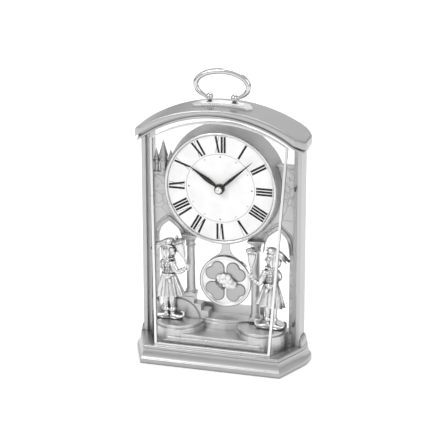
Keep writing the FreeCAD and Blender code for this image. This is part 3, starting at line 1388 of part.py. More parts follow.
def standing(shape, side):
    """A figure's piece set on its pedestal: side -1 is the left one, 1 the right one."""
    placed = shape if side < 0 else mirrored(shape)
    placed = placed.copy()
    placed.translate(V(side * FIG_X, FIG_Y, pedestal_top()))
    return placed


def figure(grip, lean_deg):
    body = joined([tunic(), leg_and_shoe(-1), leg_and_shoe(1), collar(), head(), hat(), arms(grip)])
    return body.cut(covered_cup(grip, lean_deg, SEAT / 4))


os.makedirs("parts", exist_ok=True)


def main():
    save("base_plinth", base_plinth())
    save("base_cover", base_cover())
    save("cover_screws", cover_screws())
    save("base_pads", base_pads())
    save("post_right", post())
    save("post_left", mirrored(post()))
    save("tie_rods", tie_rods())
    save("crown", crown())
    save("front_glass", front_glass())
    save("glass_trim", glass_trim())
    save("side_glass_right", side_glass())
    save("side_glass_left", mirrored(side_glass()))
    save("rear_pane", rear_pane())
    save("stage_deck", stage_deck())
    save("podium", podium())
    save("pedestal_right", clear_of_podium(pedestal()))
    save("pedestal_left", clear_of_podium(mirrored(pedestal())))
    save("stairs", stairs())
    save("column_right", column(COLUMN_X, podium_top()))
    save("column_left", column(-COLUMN_X, stairs_top()))
    save("castle_right", castle_right())
    save("castle_left", castle_left())
    save("drum_shell", drum_shell())
    save("bezel", bezel())
    save("dial", dial())
    save("dial_nut", dial_nut())
    save("hour_hand", hand(HOUR_HAND_SHARES, HOUR_HAND_L, HOUR_HAND_Y, HOUR_ANGLE, HOUR_TUBE_R))
    save("minute_hand", hand(MINUTE_HAND_SHARES, MINUTE_HAND_L, MINUTE_HAND_Y, MINUTE_ANGLE, MINUTE_TUBE_R))
    save("hand_cap", hand_cap())
    save("hour_wheel", hour_wheel())
    save("minute_arbor", minute_arbor())
    save("minute_wheel", minute_wheel())
    save("set_knob", set_knob())
    save("movement_case", movement_case())
    save("movement_cover", movement_cover())
    save("pivot_pin", pivot_pin())
    save("battery", battery())
    save("motor_coil", motor_coil())
    save("circuit_board", circuit_board())
    save("pendulum_arm", pendulum_arm())
    save("pendulum_ring", pendulum_ring())
    save("pendulum_petals", pendulum_petals())
    save("pendulum_gem", pendulum_gem())
    save("pendulum_magnet", pendulum_magnet())
    save("handle_plate", handle_plate())
    save("handle_post_right", handle_post())
    save("handle_post_left", mirrored(handle_post()))
    save("handle_nuts", handle_nuts())
    save("handle_bail", handle_bail())
    save("figure_left", standing(figure(GRIP_LEFT, LEAN_LEFT), -1))
    save("figure_right", standing(figure(GRIP_RIGHT, LEAN_RIGHT), 1))
    save("cup_left", standing(covered_cup(GRIP_LEFT, LEAN_LEFT), -1))
    save("cup_right", standing(covered_cup(GRIP_RIGHT, LEAN_RIGHT), 1))


main()
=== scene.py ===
"""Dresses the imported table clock: materials, fine mouldings, numerals and cast detail.
X runs to the right as seen from the front, Y to the back and Z up. Shapes are written in
millimetres, and the mesh helpers make them metres. Materials, floor and lights use metres."""
import json
import random
from math import acos, asin, ceil, cos, degrees, pi, radians, sin, sqrt, tan
import bmesh
import bpy
from mathutils import Matrix, Vector


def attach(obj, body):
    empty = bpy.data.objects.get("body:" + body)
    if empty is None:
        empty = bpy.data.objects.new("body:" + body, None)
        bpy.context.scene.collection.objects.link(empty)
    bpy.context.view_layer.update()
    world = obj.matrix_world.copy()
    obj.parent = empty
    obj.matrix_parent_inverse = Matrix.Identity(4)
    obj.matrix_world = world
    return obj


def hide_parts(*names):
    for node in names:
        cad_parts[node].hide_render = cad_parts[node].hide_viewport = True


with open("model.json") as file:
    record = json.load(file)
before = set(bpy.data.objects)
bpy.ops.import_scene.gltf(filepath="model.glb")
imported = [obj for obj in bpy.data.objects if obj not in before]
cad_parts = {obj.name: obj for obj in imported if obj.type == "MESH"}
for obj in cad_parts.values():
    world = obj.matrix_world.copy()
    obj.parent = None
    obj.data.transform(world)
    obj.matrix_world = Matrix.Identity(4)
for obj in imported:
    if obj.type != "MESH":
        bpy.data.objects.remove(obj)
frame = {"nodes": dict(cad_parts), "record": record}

MM = 0.001
UP, FRONT, BACK = (0, 0, 1), (0, -1, 0), (0, 1, 0)
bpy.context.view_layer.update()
nodes = frame["nodes"]


# Shader helpers
MATS = {}
GRAIN_DEPTH = 0.0002
WHITE = (1.0, 1.0, 1.0)


def new_material(key, name=None):
    """Material kept under the key by which slots and pieces find it."""
    mat = bpy.data.materials.new(name or key)
    mat.use_nodes = True
    MATS[key] = mat
    return mat.node_tree, mat.node_tree.nodes["Principled BSDF"]


def feed(node, inputs):
    """Sets a node's inputs, from plain values or other nodes' outputs."""
    for label, value in inputs.items():
        if isinstance(value, bpy.types.NodeSocket):
            node.id_data.links.new(value, node.inputs[label])
        else:
            node.inputs[label].default_value = value


def add_node(tree, kind, inputs=None, **settings):
    node = tree.nodes.new("ShaderNode" + kind)
    for key, value in settings.items():
        setattr(node, key, value)
    feed(node, inputs or {})
    return node


def object_noise(tree, scale, detail=4.0, output="Fac"):
    coords = add_node(tree, "TexCoord").outputs["Object"]
    noise = {"Scale": scale, "Detail": detail, "Roughness": 0.55, "Vector": coords}
    return add_node(tree, "TexNoise", noise).outputs[output]


def grey(v):
    return (v, v, v)


def ramp(tree, source, low, high, start=0.3, end=0.7):
    """Colour that turns from low to high while the source runs from start to end."""
    node = add_node(tree, "ValToRGB", {"Fac": source})
    for stop, place, tone in zip(node.color_ramp.elements, (start, end), (low, high)):
        stop.position = place
        stop.color = (*tone, 1)
    return node.outputs["Color"]


def remap(tree, source, low, high):
    return add_node(tree, "MapRange", {"To Min": low, "To Max": high, "Value": source}).outputs["Result"]


def add_grain(tree, shader, scale, detail, strength, bevel=0.0):
    """Fine relief, with edges that look rounded to the bevel's radius."""
    inputs = {"Strength": strength, "Distance": GRAIN_DEPTH, "Height": object_noise(tree, scale, detail)}
    if bevel:
        inputs["Normal"] = add_node(tree, "Bevel", {"Radius": bevel}, samples=6).outputs["Normal"]
    feed(shader, {"Normal": add_node(tree, "Bump", inputs).outputs["Normal"]})


def folds(tree, distance, low, high, start):
    """Painted shade: darkens creases and lightens open surfaces by ambient occlusion."""
    ao = add_node(tree, "AmbientOcclusion", {"Distance": distance}, samples=8)
    return ramp(tree, ao.outputs["AO"], low, high, start, 0.9)


def multiplied(tree, first, second):
    colours = {"Factor": 1.0, "A": first, "B": second}
    return add_node(tree, "Mix", colours, data_type="RGBA", blend_type="MULTIPLY").outputs["Result"]


def stone_joints(tree, scale):
    """Dark patina in the crooked joints of a rubble wall."""
    coords = add_node(tree, "TexCoord").outputs["Object"]
    bend = object_noise(tree, 60.0, 2.0, "Color")
    shift = add_node(tree, "VectorMath", {0: bend, 1: grey(0.008), 2: coords}, operation="MULTIPLY_ADD")
    cells = {"Scale": scale, "Vector": shift.outputs["Vector"]}
    joints = add_node(tree, "TexVoronoi", cells, feature="DISTANCE_TO_EDGE")
    return ramp(tree, joints.outputs["Distance"], grey(0.66), WHITE, 0.0, 0.05)


def metal(key, tone, dark, roughness, grain, bevel=0.0004, crease=0.004, metallic=1.0, bump=0.06,
          open_at=0.35, relief=False, stones=0.0, hue=WHITE, name=None):
    """Cast or plated metal: painted shade in its creases, slightly cloudy, with a fine grain."""
    tree, shader = new_material(key, name)
    cloud = object_noise(tree, 35.0)
    tint = ramp(tree, cloud, tuple(0.93 * c for c in hue), hue)
    result = multiplied(tree, folds(tree, crease, grey(dark), grey(tone), open_at), tint)
    if relief:
        # Painted shade in the casting's hollows and painted highlight on its raised edges, from the mesh's
        # pointiness
        shape = add_node(tree, "NewGeometry")
        hollow_shade_edge_light = ramp(tree, shape.outputs["Pointiness"], grey(0.22), WHITE, 0.44, 0.52)
        result = multiplied(tree, result, hollow_shade_edge_light)
    if stones:
        result = multiplied(tree, result, stone_joints(tree, stones))
    feed(shader, {"Base Color": result, "Metallic": metallic,
                  "Roughness": remap(tree, cloud, roughness * 0.85, roughness * 1.15)})
    add_grain(tree, shader, grain, 3.0, bump, bevel)


def clear(key, alpha, tone=0.95):
    """Glass with a faint smear."""
    tree, shader = new_material(key)
    smear = object_noise(tree, 18.0)
    feed(shader, {"Base Color": ramp(tree, smear, grey(tone * 0.97), grey(tone)),
                  "Roughness": remap(tree, smear, 0.018, 0.048), "Alpha": alpha, "IOR": 1.45})


def plastic(key, tone, roughness, gloss=0.5):
    """Plastic, paint or ink: slightly cloudy, with a fine grain."""
    tree, shader = new_material(key)
    cloud = object_noise(tree, 60.0)
    feed(shader, {"Base Color": ramp(tree, cloud, tuple(c * 0.88 for c in tone), tone),
                  "Roughness": remap(tree, cloud, roughness * 0.9, roughness * 1.1),
                  "Specular IOR Level": gloss})
    add_grain(tree, shader, 900.0, 2.0, 0.08)


POLISHED = {"grain": 1600.0, "crease": 0.002, "bump": 0.02}
metal("body_metal", 0.43, 0.19, 0.30, 1400.0, name="satin_silver")
metal("castle_metal", 0.55, 0.24, 0.40, 1100.0, name="castle_silver")
metal("chrome", 0.56, 0.06, 0.10, 1600.0, bump=0.02, name="bright_chrome")
metal("cast_silver", 0.78, 0.08, 0.22, 1300.0, crease=0.006, open_at=0.5, relief=True)
clear("clear_glass", 0.015)
clear("crystal", 0.55, 0.9)
plastic("dial_white", grey(0.88), 0.5)
plastic("hand_black", grey(0.004), 0.30, gloss=0.12)
plastic("black_plastic", grey(0.03), 0.5)
plastic("grey_plastic", grey(0.25), 0.5)
metal("brass", 0.6, 0.2, 0.3, 1400.0, hue=(1.0, 0.80, 0.46))
metal("steel", 0.55, 0.2, 0.35, 1400.0, name="zinc_steel")
plastic("rubber", grey(0.04), 0.8)
plastic("copper_coil", (0.5, 0.2, 0.08), 0.35)
plastic("battery_skin", (0.20, 0.20, 0.22), 0.3)
plastic("board", (0.05, 0.20, 0.10), 0.4)
metal("stage_silver", 0.60, 0.42, 0.36, 1100.0, crease=0.0022)
metal("neck_dark", 0.10, 0.03, 0.30, 1500.0)
plastic("dial_ink", grey(0.05), 0.4)
plastic("dial_grey", grey(0.42), 0.5)
plastic("dial_shade", grey(0.30), 0.5)
metal("post_silver", 0.46, 0.36, 0.34, 1400.0, crease=0.0025)
metal("wall_silver", 0.52, 0.24, 0.40, 1100.0, stones=62.0)
metal("bezel_bright", 0.66, 0.22, 0.22, **POLISHED)
metal("drum_metal", 0.48, 0.20, 0.38, 1200.0)
metal("trim_bright", 0.80, 0.40, 0.28, **POLISHED)
metal("plate_white", 0.84, 0.46, 0.36, **POLISHED)
metal("pad_white", 0.94, 0.50, 0.30, **POLISHED, metallic=0.25)
metal("arm_bright", 0.52, 0.20, 0.25, 1600.0, bump=0.02)
metal("rim_dark", 0.22, 0.10, 0.35, 1600.0)
metal("petal_grey", 0.45, 0.26, 0.36, 1500.0)
metal("petal_dark", 0.12, 0.06, 0.40, 1500.0, bevel=0.0)
metal("crystal_white", 0.97, 0.62, 0.12, 900.0, bevel=0.0, crease=0.002, metallic=0.15, bump=0.01)
# Dark crystal tone for the stones at the cluster's lower left: painted shadow.
metal("crystal_dark", 0.25, 0.06, 0.12, 900.0, bevel=0.0, metallic=0.6, bump=0.01)
metal("cup_silver", 0.68, 0.06, 0.20, 1300.0, crease=0.006, open_at=0.45)
SLOT_OF = {row["node"]: row["material_slot"] for row in frame["record"]["subparts"]}
OWN_FINISH = {"trim_bright": ("glass_trim", "handle_plate"), "post_silver": ("post_right", "post_left"),
              "wall_silver": ("castle_right", "castle_left"),
              "stage_silver": ("stage_deck", "podium", "pedestal_right", "pedestal_left")}
for name, obj in nodes.items():
    obj.data.materials.clear()
    obj.data.materials.append(MATS[SLOT_OF[name]])
for mat, names in OWN_FINISH.items():
    for name in names:
        nodes[name].data.materials[0] = MATS[mat]


# Mesh helpers
WELD = 0.01 * MM


def linked(name, data):
    obj = bpy.data.objects.new(name, data)
    bpy.context.scene.collection.objects.link(obj)
    return obj


def new_mesh(name, verts, faces):
    mesh = bpy.data.meshes.new(name)
    mesh.from_pydata([Vector(v) * MM for v in verts], [], faces)
    mesh.validate()
    return mesh


def finish_piece(name, mesh, mat, body, smooth=True, angle=40.0, replaced=(), slot=None):
    """Welded piece with its faces outwards, and sharp edges where they turn by the angle."""
    bm = bmesh.new()
    bm.from_mesh(mesh)
    bmesh.ops.remove_doubles(bm, verts=bm.verts, dist=WELD)
    bmesh.ops.recalc_face_normals(bm, faces=bm.faces)
    for edge in bm.edges:
        turn = edge.calc_face_angle(0.0) if len(edge.link_faces) == 2 else 0.0
        edge.smooth = turn < radians(angle)
    for face in bm.faces:
        face.smooth = smooth
    bm.to_mesh(mesh)
    bm.free()
    obj = linked(name, mesh)
    mesh.materials.append(MATS[mat])
    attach(obj, body)
    if replaced:
        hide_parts(*replaced)


def piece(name, verts, faces, mat, body="case", **how):
    finish_piece(name, new_mesh(name, verts, faces), mat, body, **how)


def ring_faces(rows, count, closed_rows=False, capped=True):
    """Faces between rows of count points each; the ends may be capped."""
    faces = []
    for i in range(rows if closed_rows else rows - 1):
        a, b = i * count, ((i + 1) % rows) * count
        for k in range(count):
            n = (k + 1) % count
            faces.append((a + k, a + n, b + n, b + k))
    if capped and not closed_rows:
        faces.append(tuple(range(count))[::-1])
        faces.append(tuple((rows - 1) * count + k for k in range(count)))
    return faces


def around(count):
    """Angles of points spread round a full turn."""
    return [2 * pi * k / count for k in range(count)]


def arc(centre, radii, start, end, count):
    """Points along a round or oval arc between two angles in degrees."""
    turns = [radians(start + (end - start) * k / count) for k in range(count + 1)]
    return [(centre[0] + radii[0] * cos(a), centre[1] + radii[1] * sin(a)) for a in turns]


def basis(axis):
    """Two unit vectors square to the axis, and the axis as a unit vector."""
    w = Vector(axis).normalized()
    u = Vector(UP if abs(w.z) < 0.9 else (1, 0, 0))
    u = (u - w * u.dot(w)).normalized()
    return u, w.cross(u), w


def lathe(profile, centre, axis=UP, count=64, closed=False):
    """Turning from (radius, height) pairs; closed joins the profile's ends."""
    u, v, w = basis(axis)
    verts = [Vector(centre) + u * (r * cos(a)) + v * (r * sin(a)) + w * h
             for r, h in profile for a in around(count)]
    return verts, ring_faces(len(profile), count, closed, not closed)


def arc_band(profile, centre, axis, start, end, count):
    """Part of a ring: a closed (radius, height) profile carried from start to end degrees."""
    u, v, w = basis(axis)
    verts = []
    for k in range(count + 1):
        a = radians(start + (end - start) * k / count)
        verts += [Vector(centre) + (u * cos(a) + v * sin(a)) * r + w * h for r, h in profile]
    return verts, ring_faces(count + 1, len(profile))


def joined(parts):
    verts, faces = [], []
    for vs, fs in parts:
        base = len(verts)
        verts.extend(vs)
        faces.extend(tuple(i + base for i in f) for f in fs)
    return verts, faces


def spline_points(points, steps):
    """Catmull-Rom curve through tuples of any length."""
    out = []
    last = len(points) - 1
    for i in range(last):
        near = [points[max(0, min(j, last))] for j in range(i - 1, i + 3)]
        for k in range(steps):
            t = k / steps
            out.append(tuple(0.5 * (2 * b + (c - a) * t + (2 * a - 5 * b + 4 * c - d) * t * t
                                    + (3 * b - a - 3 * c + d) * t ** 3)
                             for a, b, c, d in zip(*near)))
    out.append(tuple(points[-1]))
    return out


def sweep(path, count=12, steps=6, wide=1.0, straight=False):
    """Tube along (x, y, z, radius) points; wide stretches it along Y."""
    points = path if straight else spline_points(path, steps)
    verts = []
    spots = [Vector(p[:3]) for p in points]
    for i, p in enumerate(points):
        t = (spots[min(i + 1, len(spots) - 1)] - spots[max(i - 1, 0)]).normalized()
        s = Vector(BACK)
        s = (s - t * s.dot(t)).normalized()
        o = t.cross(s)
        verts += [spots[i] + (s * cos(a) * wide + o * sin(a)) * p[3] for a in around(count)]
    return verts, ring_faces(len(points), count)


def bead(points, r, count=8):
    """Round bead of constant radius along straight runs."""
    return sweep([(*p, r) for p in points], count, straight=True)


def blob(x, y, z, rx, ry, rz, count=16):
    """Closed oval ball."""
    rows = count // 2
    verts = []
    for i in range(1, rows):
        t = pi * i / rows
        sx, sy = rx * sin(t), ry * sin(t)
        verts += [(x + sx * cos(a), y + sy * sin(a), z - rz * cos(t)) for a in around(count)]
    return verts, ring_faces(rows - 1, count)


def prism(outline, y0, y1):
    """Outline of (x, z) pairs between two depths."""
    n = len(outline)
    verts = [(x, y, z) for y in (y0, y1) for x, z in outline]
    faces = [tuple(range(n)), tuple(range(2 * n - 1, n - 1, -1))]
    faces += [(k, (k + 1) % n, n + (k + 1) % n, n + k) for k in range(n)]
    return verts, faces


def moved(part, shift=(0, 0, 0), turn=0.0, mirror=False):
    """Part turned about Y by degrees, then shifted; mirror swaps left and right first."""
    rot = Matrix.Rotation(radians(turn), 3, "Y")
    verts = [rot @ Vector((-v[0] if mirror else v[0], v[1], v[2])) + Vector(shift) for v in part[0]]
    faces = [tuple(reversed(f)) for f in part[1]] if mirror else part[1]
    return verts, faces


def mirror_piece(name, part, mat, **how):
    """The same form on the right and, as its mirror image, on the left."""
    piece(name + "_right", *part, mat, **how)
    piece(name + "_left", *moved(part, mirror=True), mat, **how)


def voxel_cast(name, parts, voxel, mat, replaced):
    """Closed forms melted into one cast skin."""
    mesh = new_mesh(name + "_raw", *joined(parts))
    bm = bmesh.new()
    bm.from_mesh(mesh)
    bmesh.ops.recalc_face_normals(bm, faces=bm.faces)
    bm.to_mesh(mesh)
    bm.free()
    raw = linked(name + "_raw", mesh)
    melt = raw.modifiers.new("melt", "REMESH")
    melt.mode = "VOXEL"
    melt.voxel_size = voxel * MM
    ease = raw.modifiers.new("ease", "SMOOTH")
    ease.factor = 0.5
    ease.iterations = 2
    graph = bpy.context.evaluated_depsgraph_get()
    done = bpy.data.meshes.new_from_object(raw.evaluated_get(graph))
    bpy.data.objects.remove(raw)
    finish_piece(name, done, mat, "case", angle=180.0, replaced=replaced)


# Case: the plans and arches are the model's, in fine steps, with the crown's ends drawn in
SIDE_HALF, SIDE_Y, BACK_Y, BACK_R = 97.4, 8.0, 38.5, 14.0
BASE_FRONT_HALF, BASE_FRONT_Y, BASE_SIDE_R, BASE_TOP_Z = 78.0, -38.5, 50.0, 20.0
CROWN_FRONT_HALF, CROWN_FRONT_Y, CROWN_SIDE_HALF, CROWN_SIDE_R = 84.3, -12.2, 94.2, 16.0
CROWN_MID_Y, CROWN_END_T = (BACK_Y + CROWN_FRONT_Y) / 2, 7.8
LIP_R, LIP_APEX, TOP_APEX = 145.7, 280.2, 283.0
TOP_SAG = TOP_APEX - LIP_APEX + LIP_R - sqrt(LIP_R ** 2 - SIDE_HALF ** 2) - CROWN_END_T
TOP_R = (SIDE_HALF ** 2 + TOP_SAG ** 2) / (2 * TOP_SAG)
TIER_INSET, TIER_RUN, TIER_H, TIER_FRONT_Y, TIER_IN_X = 5.225, 2.98225, 8.8, 5.9, 88.5
CORNER_STEP = 3.0
PROUD = 0.12


def rounded_plan(points, radii):
    """Closed outline with its corners rounded where they have a radius."""
    out = []
    for i, point in enumerate(points):
        corner = Vector(point)
        if radii[i] <= 0:
            out.append(corner)
            continue
        before = (Vector(points[i - 1]) - corner).normalized()
        after = (Vector(points[(i + 1) % len(points)]) - corner).normalized()
        half = before.angle(after) / 2
        centre = corner + (before + after).normalized() * (radii[i] / sin(half))
        start = corner + before * (radii[i] / tan(half)) - centre
        turn = pi - 2 * half
        steps = max(6, round(degrees(turn) / CORNER_STEP))
        sign = -1 if before.x * after.y - before.y * after.x > 0 else 1
        for k in range(steps + 1):
            a = sign * turn * k / steps
            out.append(centre + Vector((start.x * cos(a) - start.y * sin(a),
                                        start.x * sin(a) + start.y * cos(a))))
    return out


def plan(front_half, front_y, side_half, side_y, side_r, inset):
    """Box with two long front chamfers, moved inwards by the inset."""
    flank = Vector((side_half - front_half, side_y - front_y)).normalized()
    shift = Vector((-flank.y, flank.x)) * inset
    y0, y1, x1 = front_y + inset, BACK_Y - inset, side_half - inset
    fx = front_half + shift.x + (y0 - front_y - shift.y) * flank.x / flank.y
    sy = front_y + shift.y + (x1 - front_half - shift.x) * flank.y / flank.x
    points = [(fx, y0), (x1, sy), (x1, y1), (-x1, y1), (-x1, sy), (-fx, y0)]
    sr, br = side_r - inset, BACK_R - inset
    return rounded_plan(points, [0, sr, br, br, sr, 0])


def base_plan(inset):
    return plan(BASE_FRONT_HALF, BASE_FRONT_Y, SIDE_HALF, SIDE_Y, BASE_SIDE_R, inset)


def crown_plan(inset):
    return plan(CROWN_FRONT_HALF, CROWN_FRONT_Y, CROWN_SIDE_HALF, 0.0, CROWN_SIDE_R, inset)


def run_parts(points, longest):
    """How many parts, none over the longest, each run of a closed outline is split into."""
    return [max(1, ceil((b - a).length / longest)) for a, b in zip(points, points[1:] + points[:1])]


def divided(points, parts):
    out = []
    for a, b, count in zip(points, points[1:] + points[:1], parts):
        out.extend(a.lerp(b, k / count) for k in range(count))
    return out


def crown_ring(inset, height):
    """Ring of the crown's plan, set on an arch by height(x)."""
    points = divided(crown_plan(inset), run_parts(crown_plan(0), 4.0))
    return [Vector((p.x, p.y, height(p.x))) for p in points]


def drawn_in(ring, share):
    """Ring narrowed towards the crown's middle line."""
    return [Vector((p.x, CROWN_MID_Y + (p.y - CROWN_MID_Y) * share, p.z)) for p in ring]


def arch(r, apex, extra):
    return lambda x: apex - r + sqrt((r + extra) ** 2 - x * x)


def crown_skin():
    """Crown from its underside over mould, groove and lip to the roof's middle line."""
    under = [(4.2, -6.7), (3.1, -6.72), (2.55, -6.4), (2.3, -5.9), (2.25, -5.3), (2.35, -4.6), (2.7, -4.15),
             (3.3, -4.0), (3.4, -3.6), (3.4, -2.1), (3.25, -1.8), (0.9, -1.78), (0.35, -1.6), (0.1, -1.2),
             (0.0, -0.6)]
    roof = [(0.0, 1.9), (0.1, 1.2), (0.4, 0.62), (0.85, 0.22), (1.5, 0.03), (2.2, 0.0)]
    low = crown_ring(5.0, arch(LIP_R, LIP_APEX, -6.7))
    rows = [drawn_in(low, k / 5) for k in range(6)]
    rows += [crown_ring(inset - PROUD, arch(LIP_R, LIP_APEX, extra)) for inset, extra in under]
    rows += [crown_ring(inset - PROUD, arch(TOP_R, TOP_APEX, PROUD - drop)) for inset, drop in roof]
    last = rows[-1]
    rows += [drawn_in(last, 1 - k / 7) for k in range(1, 8)]
    return [v for row in rows for v in row], ring_faces(len(rows), len(last), capped=False)


def bezier(start, pull, end, count):
    """Quadratic curve between two points, drawn towards a third."""
    shares = [k / count for k in range(count + 1)]
    return [tuple((1 - t) ** 2 * a + 2 * (1 - t) * t * b + t ** 2 * c for a, b, c in zip(start, pull, end))
            for t in shares]


def base_skin():
    """Band, cove, neck and bead of the base as one fine skin, from (inset, z) pairs."""
    levels = [(1.6, 0.62), (0.5, 0.66), (0.12, 1.0), (0.0, 1.5), (0.0, 4.9), (0.1, 5.5), (0.4, 6.05),
              (0.95, 6.5)]
    levels += bezier((1.15, 6.75), (2.9, 9.3), (4.1, 14.6), 10)
    levels += [(4.1, 15.6), (4.15, 16.05), (4.75, 16.25), (4.55, 16.8), (4.35, 17.5), (4.3, 18.2),
               (4.4, 18.9), (4.65, 19.6), (5.1, 20.05), (5.8, 20.25), (11.5, 20.28)]
    parts = run_parts(base_plan(0), 6.0)
    verts = [(*p, z) for inset, z in levels for p in divided(base_plan(inset - PROUD), parts)]
    return verts, ring_faces(len(levels), sum(parts), capped=False)


def resampled(points, count):
    """Open line divided into points at equal distances."""
    spans = [(b - a).length for a, b in zip(points, points[1:])]
    total, out, i, run = sum(spans), [], 0, 0.0
    for k in range(count):
        want = total * k / (count - 1)
        while i < len(spans) - 1 and run + spans[i] < want:
            run += spans[i]
            i += 1
        out.append(points[i].lerp(points[i + 1], min(1.0, (want - run) / spans[i])))
    return out


def tier_skin():
    """Quarter-round tier beside the right post."""
    verts, rows, count = [], 9, 40
    for k in range(rows):
        turn = radians(90) * k / (rows - 1)
        outline = base_plan(TIER_INSET + TIER_RUN * (1 - cos(turn)) - PROUD)
        fine = divided(outline, run_parts(outline, 1.0))
        path = [p for p in fine if p.y >= TIER_FRONT_Y and p.x >= TIER_IN_X]
        z = BASE_TOP_Z + TIER_H * sin(turn) + PROUD / 2
        verts += [(*p, z) for p in resampled(path, count)]
    faces = [(i * count + k, i * count + k + 1, (i + 1) * count + k + 1, (i + 1) * count + k)
             for i in range(rows - 1) for k in range(count - 1)]
    return verts, faces


piece("crown_form", *crown_skin(), "body_metal", replaced=("crown",))
piece("base_mouldings", *base_skin(), "body_metal")
mirror_piece("foot_tier", tier_skin(), "body_metal")


# Dial, bezel and drum
DIAL_Z, DIAL_Y, DIAL_R = 193.0, 4.8, 59.5
DIAL_SPOT = (0, DIAL_Y, DIAL_Z)
INK_Y, INK_BACK_Y = DIAL_Y - 0.07, DIAL_Y + 0.1
NUMERAL_IN, NUMERAL_OUT = 0.665 * DIAL_R, 0.962 * DIAL_R
SERIF, SERIF_HALF, SERIF_Y = 0.5, 0.1, INK_Y + 0.01
DOT_R = 34.9
DRUM_R, DRUM_FLARE, DRUM_DEEP = 62.75, 4.0, 26.0
NUMERALS = ("XII", "I", "II", "III", "IIII", "V", "VI", "VII", "VIII", "IX", "X", "XI")
# A letter's width, and its strokes as inner place, outer place and half thickness
STROKES = {"I": (3.2, ((1.6, 1.6, 1.15),)), "V": (6.2, ((3.1, 1.3, 1.15), (3.8, 5.5, 0.2))),
           "X": (6.5, ((4.9, 1.4, 1.15), (1.5, 5.0, 0.2)))}
BEZEL = [(58.9, -0.6), (58.9, 0.9), (59.15, 1.5), (59.7, 2.0), (60.4, 2.2), (61.1, 2.05), (61.7, 1.6),
         (62.05, 0.9), (62.15, 0.1), (62.15, -0.6)]


def clock_turn(points, angle, z):
    """(right, outward) pairs at twelve o'clock round height z, turned clockwise by degrees."""
    s, c = sin(radians(angle)), cos(radians(angle))
    return [(u * c + v * s, z - u * s + v * c) for u, v in points]


def on_dial(points, angle, front_y=INK_Y):
    return prism(clock_turn(points, angle, DIAL_Z), front_y, INK_BACK_Y)


def bar(u0, v0, u1, v1, half):
    return [(u0 - half, v0), (u1 - half, v1), (u1 + half, v1), (u0 + half, v0)]


def numeral(text, angle):
    """Strokes that point to the centre, each with a thin serif at both ends."""
    left = -sum(STROKES[c][0] for c in text) / 2
    parts = []
    for c in text:
        width, strokes = STROKES[c]
        for low, high, half in strokes:
            ends = ((left + low, NUMERAL_IN), (left + high, NUMERAL_OUT))
            parts.append(on_dial(bar(*ends[0], *ends[1], half), angle))
            parts += [on_dial(bar(u, v - SERIF_HALF, u, v + SERIF_HALF, half + SERIF), angle, SERIF_Y)
                      for u, v in ends]
        left += width
    return joined(parts)


def flat_ring(r0, r1, lift):
    return lathe([(r0, -0.2), (r0, lift), (r1, lift), (r1, -0.2)], DIAL_SPOT, FRONT, 128, True)


def dots(hours, r):
    return joined([on_dial(arc((0, DOT_R), (r, r), 0, 330, 11), 30 * hour) for hour in hours])


def drum_profile(y0, y1):
    """Profile of a thin band on the drum's cone, with small chamfers."""
    skin = ((y0, 1.2), (y0, 0.15), (y0 + 0.15, 0.0), (y1 - 0.15, 0.0), (y1, 0.15), (y1, 1.2))
    return [(DRUM_R + DRUM_FLARE * (y - DIAL_Y) / DRUM_DEEP - t, y - DIAL_Y) for y, t in skin]


for hour, text in enumerate(NUMERALS):
    piece("numeral_%d" % (hour or 12), *numeral(text, 30 * hour), "hand_black", smooth=False)
piece("dial_ring", *flat_ring(37.55, 38.15, 0.05), "dial_grey", slot="dial_white")
piece("dial_edge_line", *flat_ring(58.35, 59.2, 0.12), "dial_shade", slot="dial_white")
piece("dial_dots_main", *dots((0, 3, 6, 9), 0.85), "dial_ink", smooth=False, slot="hand_black")
piece("dial_dots_small", *dots((1, 2, 4, 5, 7, 8, 10, 11), 0.7), "dial_shade", smooth=False,
      slot="hand_black")
piece("bezel_ring", *lathe(BEZEL, DIAL_SPOT, FRONT, 160, True), "bezel_bright",
      replaced=("bezel",), slot="body_metal")
piece("drum_band_front", *lathe(drum_profile(4.7, 25.2), DIAL_SPOT, BACK, 160, True), "drum_metal",
      slot="castle_metal")
piece("drum_band_rear", *arc_band(drum_profile(25.1, 30.9), DIAL_SPOT, BACK, -166, 166, 140), "drum_metal",
      slot="castle_metal")


# Hands: (outward, half width) pairs from the hub to the tip, the angle, the front and the eye's bore
HOUR_BLADE = [(0, 1.7), (5, 1.35), (8, 1.7), (12, 2.35), (16, 2.6), (20, 2.35), (24, 1.85), (28, 1.35),
              (33, 0.95), (39.5, 0.3)]
MINUTE_BLADE = [(0, 1.6), (5, 1.35), (10, 1.6), (16, 1.7), (22, 1.45), (30, 1.0), (40, 0.6), (48.5, 0.2)]
HANDS = {"hour_hand": (HOUR_BLADE, 304, 2.3, 3.1), "minute_hand": (MINUTE_BLADE, 48, 1.0, 1.8)}
HAND_T, HAND_RIDGE, EYE_R, HUB_Y = 0.6, 0.25, 4.6, 1.1
HUB = [(0, 0.1), (5.0, 0.1), (5.3, 0.4), (5.3, 1.4), (5.0, 1.8), (0, 1.9)]
DOME = [(0, 1.5), (3.4, 1.5)] + arc((0, 3.2), (3.7, 3.2), 0, 90, 10)


def hand(points, angle, y, bore):
    """Pointed blade with a raised middle, and the flat eye behind it."""
    verts = []
    for v, half in points:
        section = ((-half, HAND_RIDGE), (0, 0), (half, HAND_RIDGE), (half, HAND_T), (-half, HAND_T))
        spots = clock_turn([(u, v) for u, depth in section], angle, DIAL_Z)
        verts += [(x, y + depth, z) for (x, z), (u, depth) in zip(spots, section)]
    eye = lathe([(bore, 0), (EYE_R, 0), (EYE_R, 0.5), (bore, 0.5)], (0, y + 0.1, DIAL_Z), BACK, 48, True)
    return joined([(verts, ring_faces(len(points), 5)), eye])


for name, how in HANDS.items():
    piece(name + "_blade", *hand(*how), "hand_black", name + "_body", replaced=(name,), angle=25)
piece("hand_hub", *lathe(HUB, (0, HUB_Y, DIAL_Z), FRONT), "hand_black", "minute_hand_body",
      replaced=("hand_cap",))
piece("hub_dome", *lathe(DOME, (0, HUB_Y, DIAL_Z), FRONT), "trim_bright", "minute_hand_body",
      slot="hand_black")


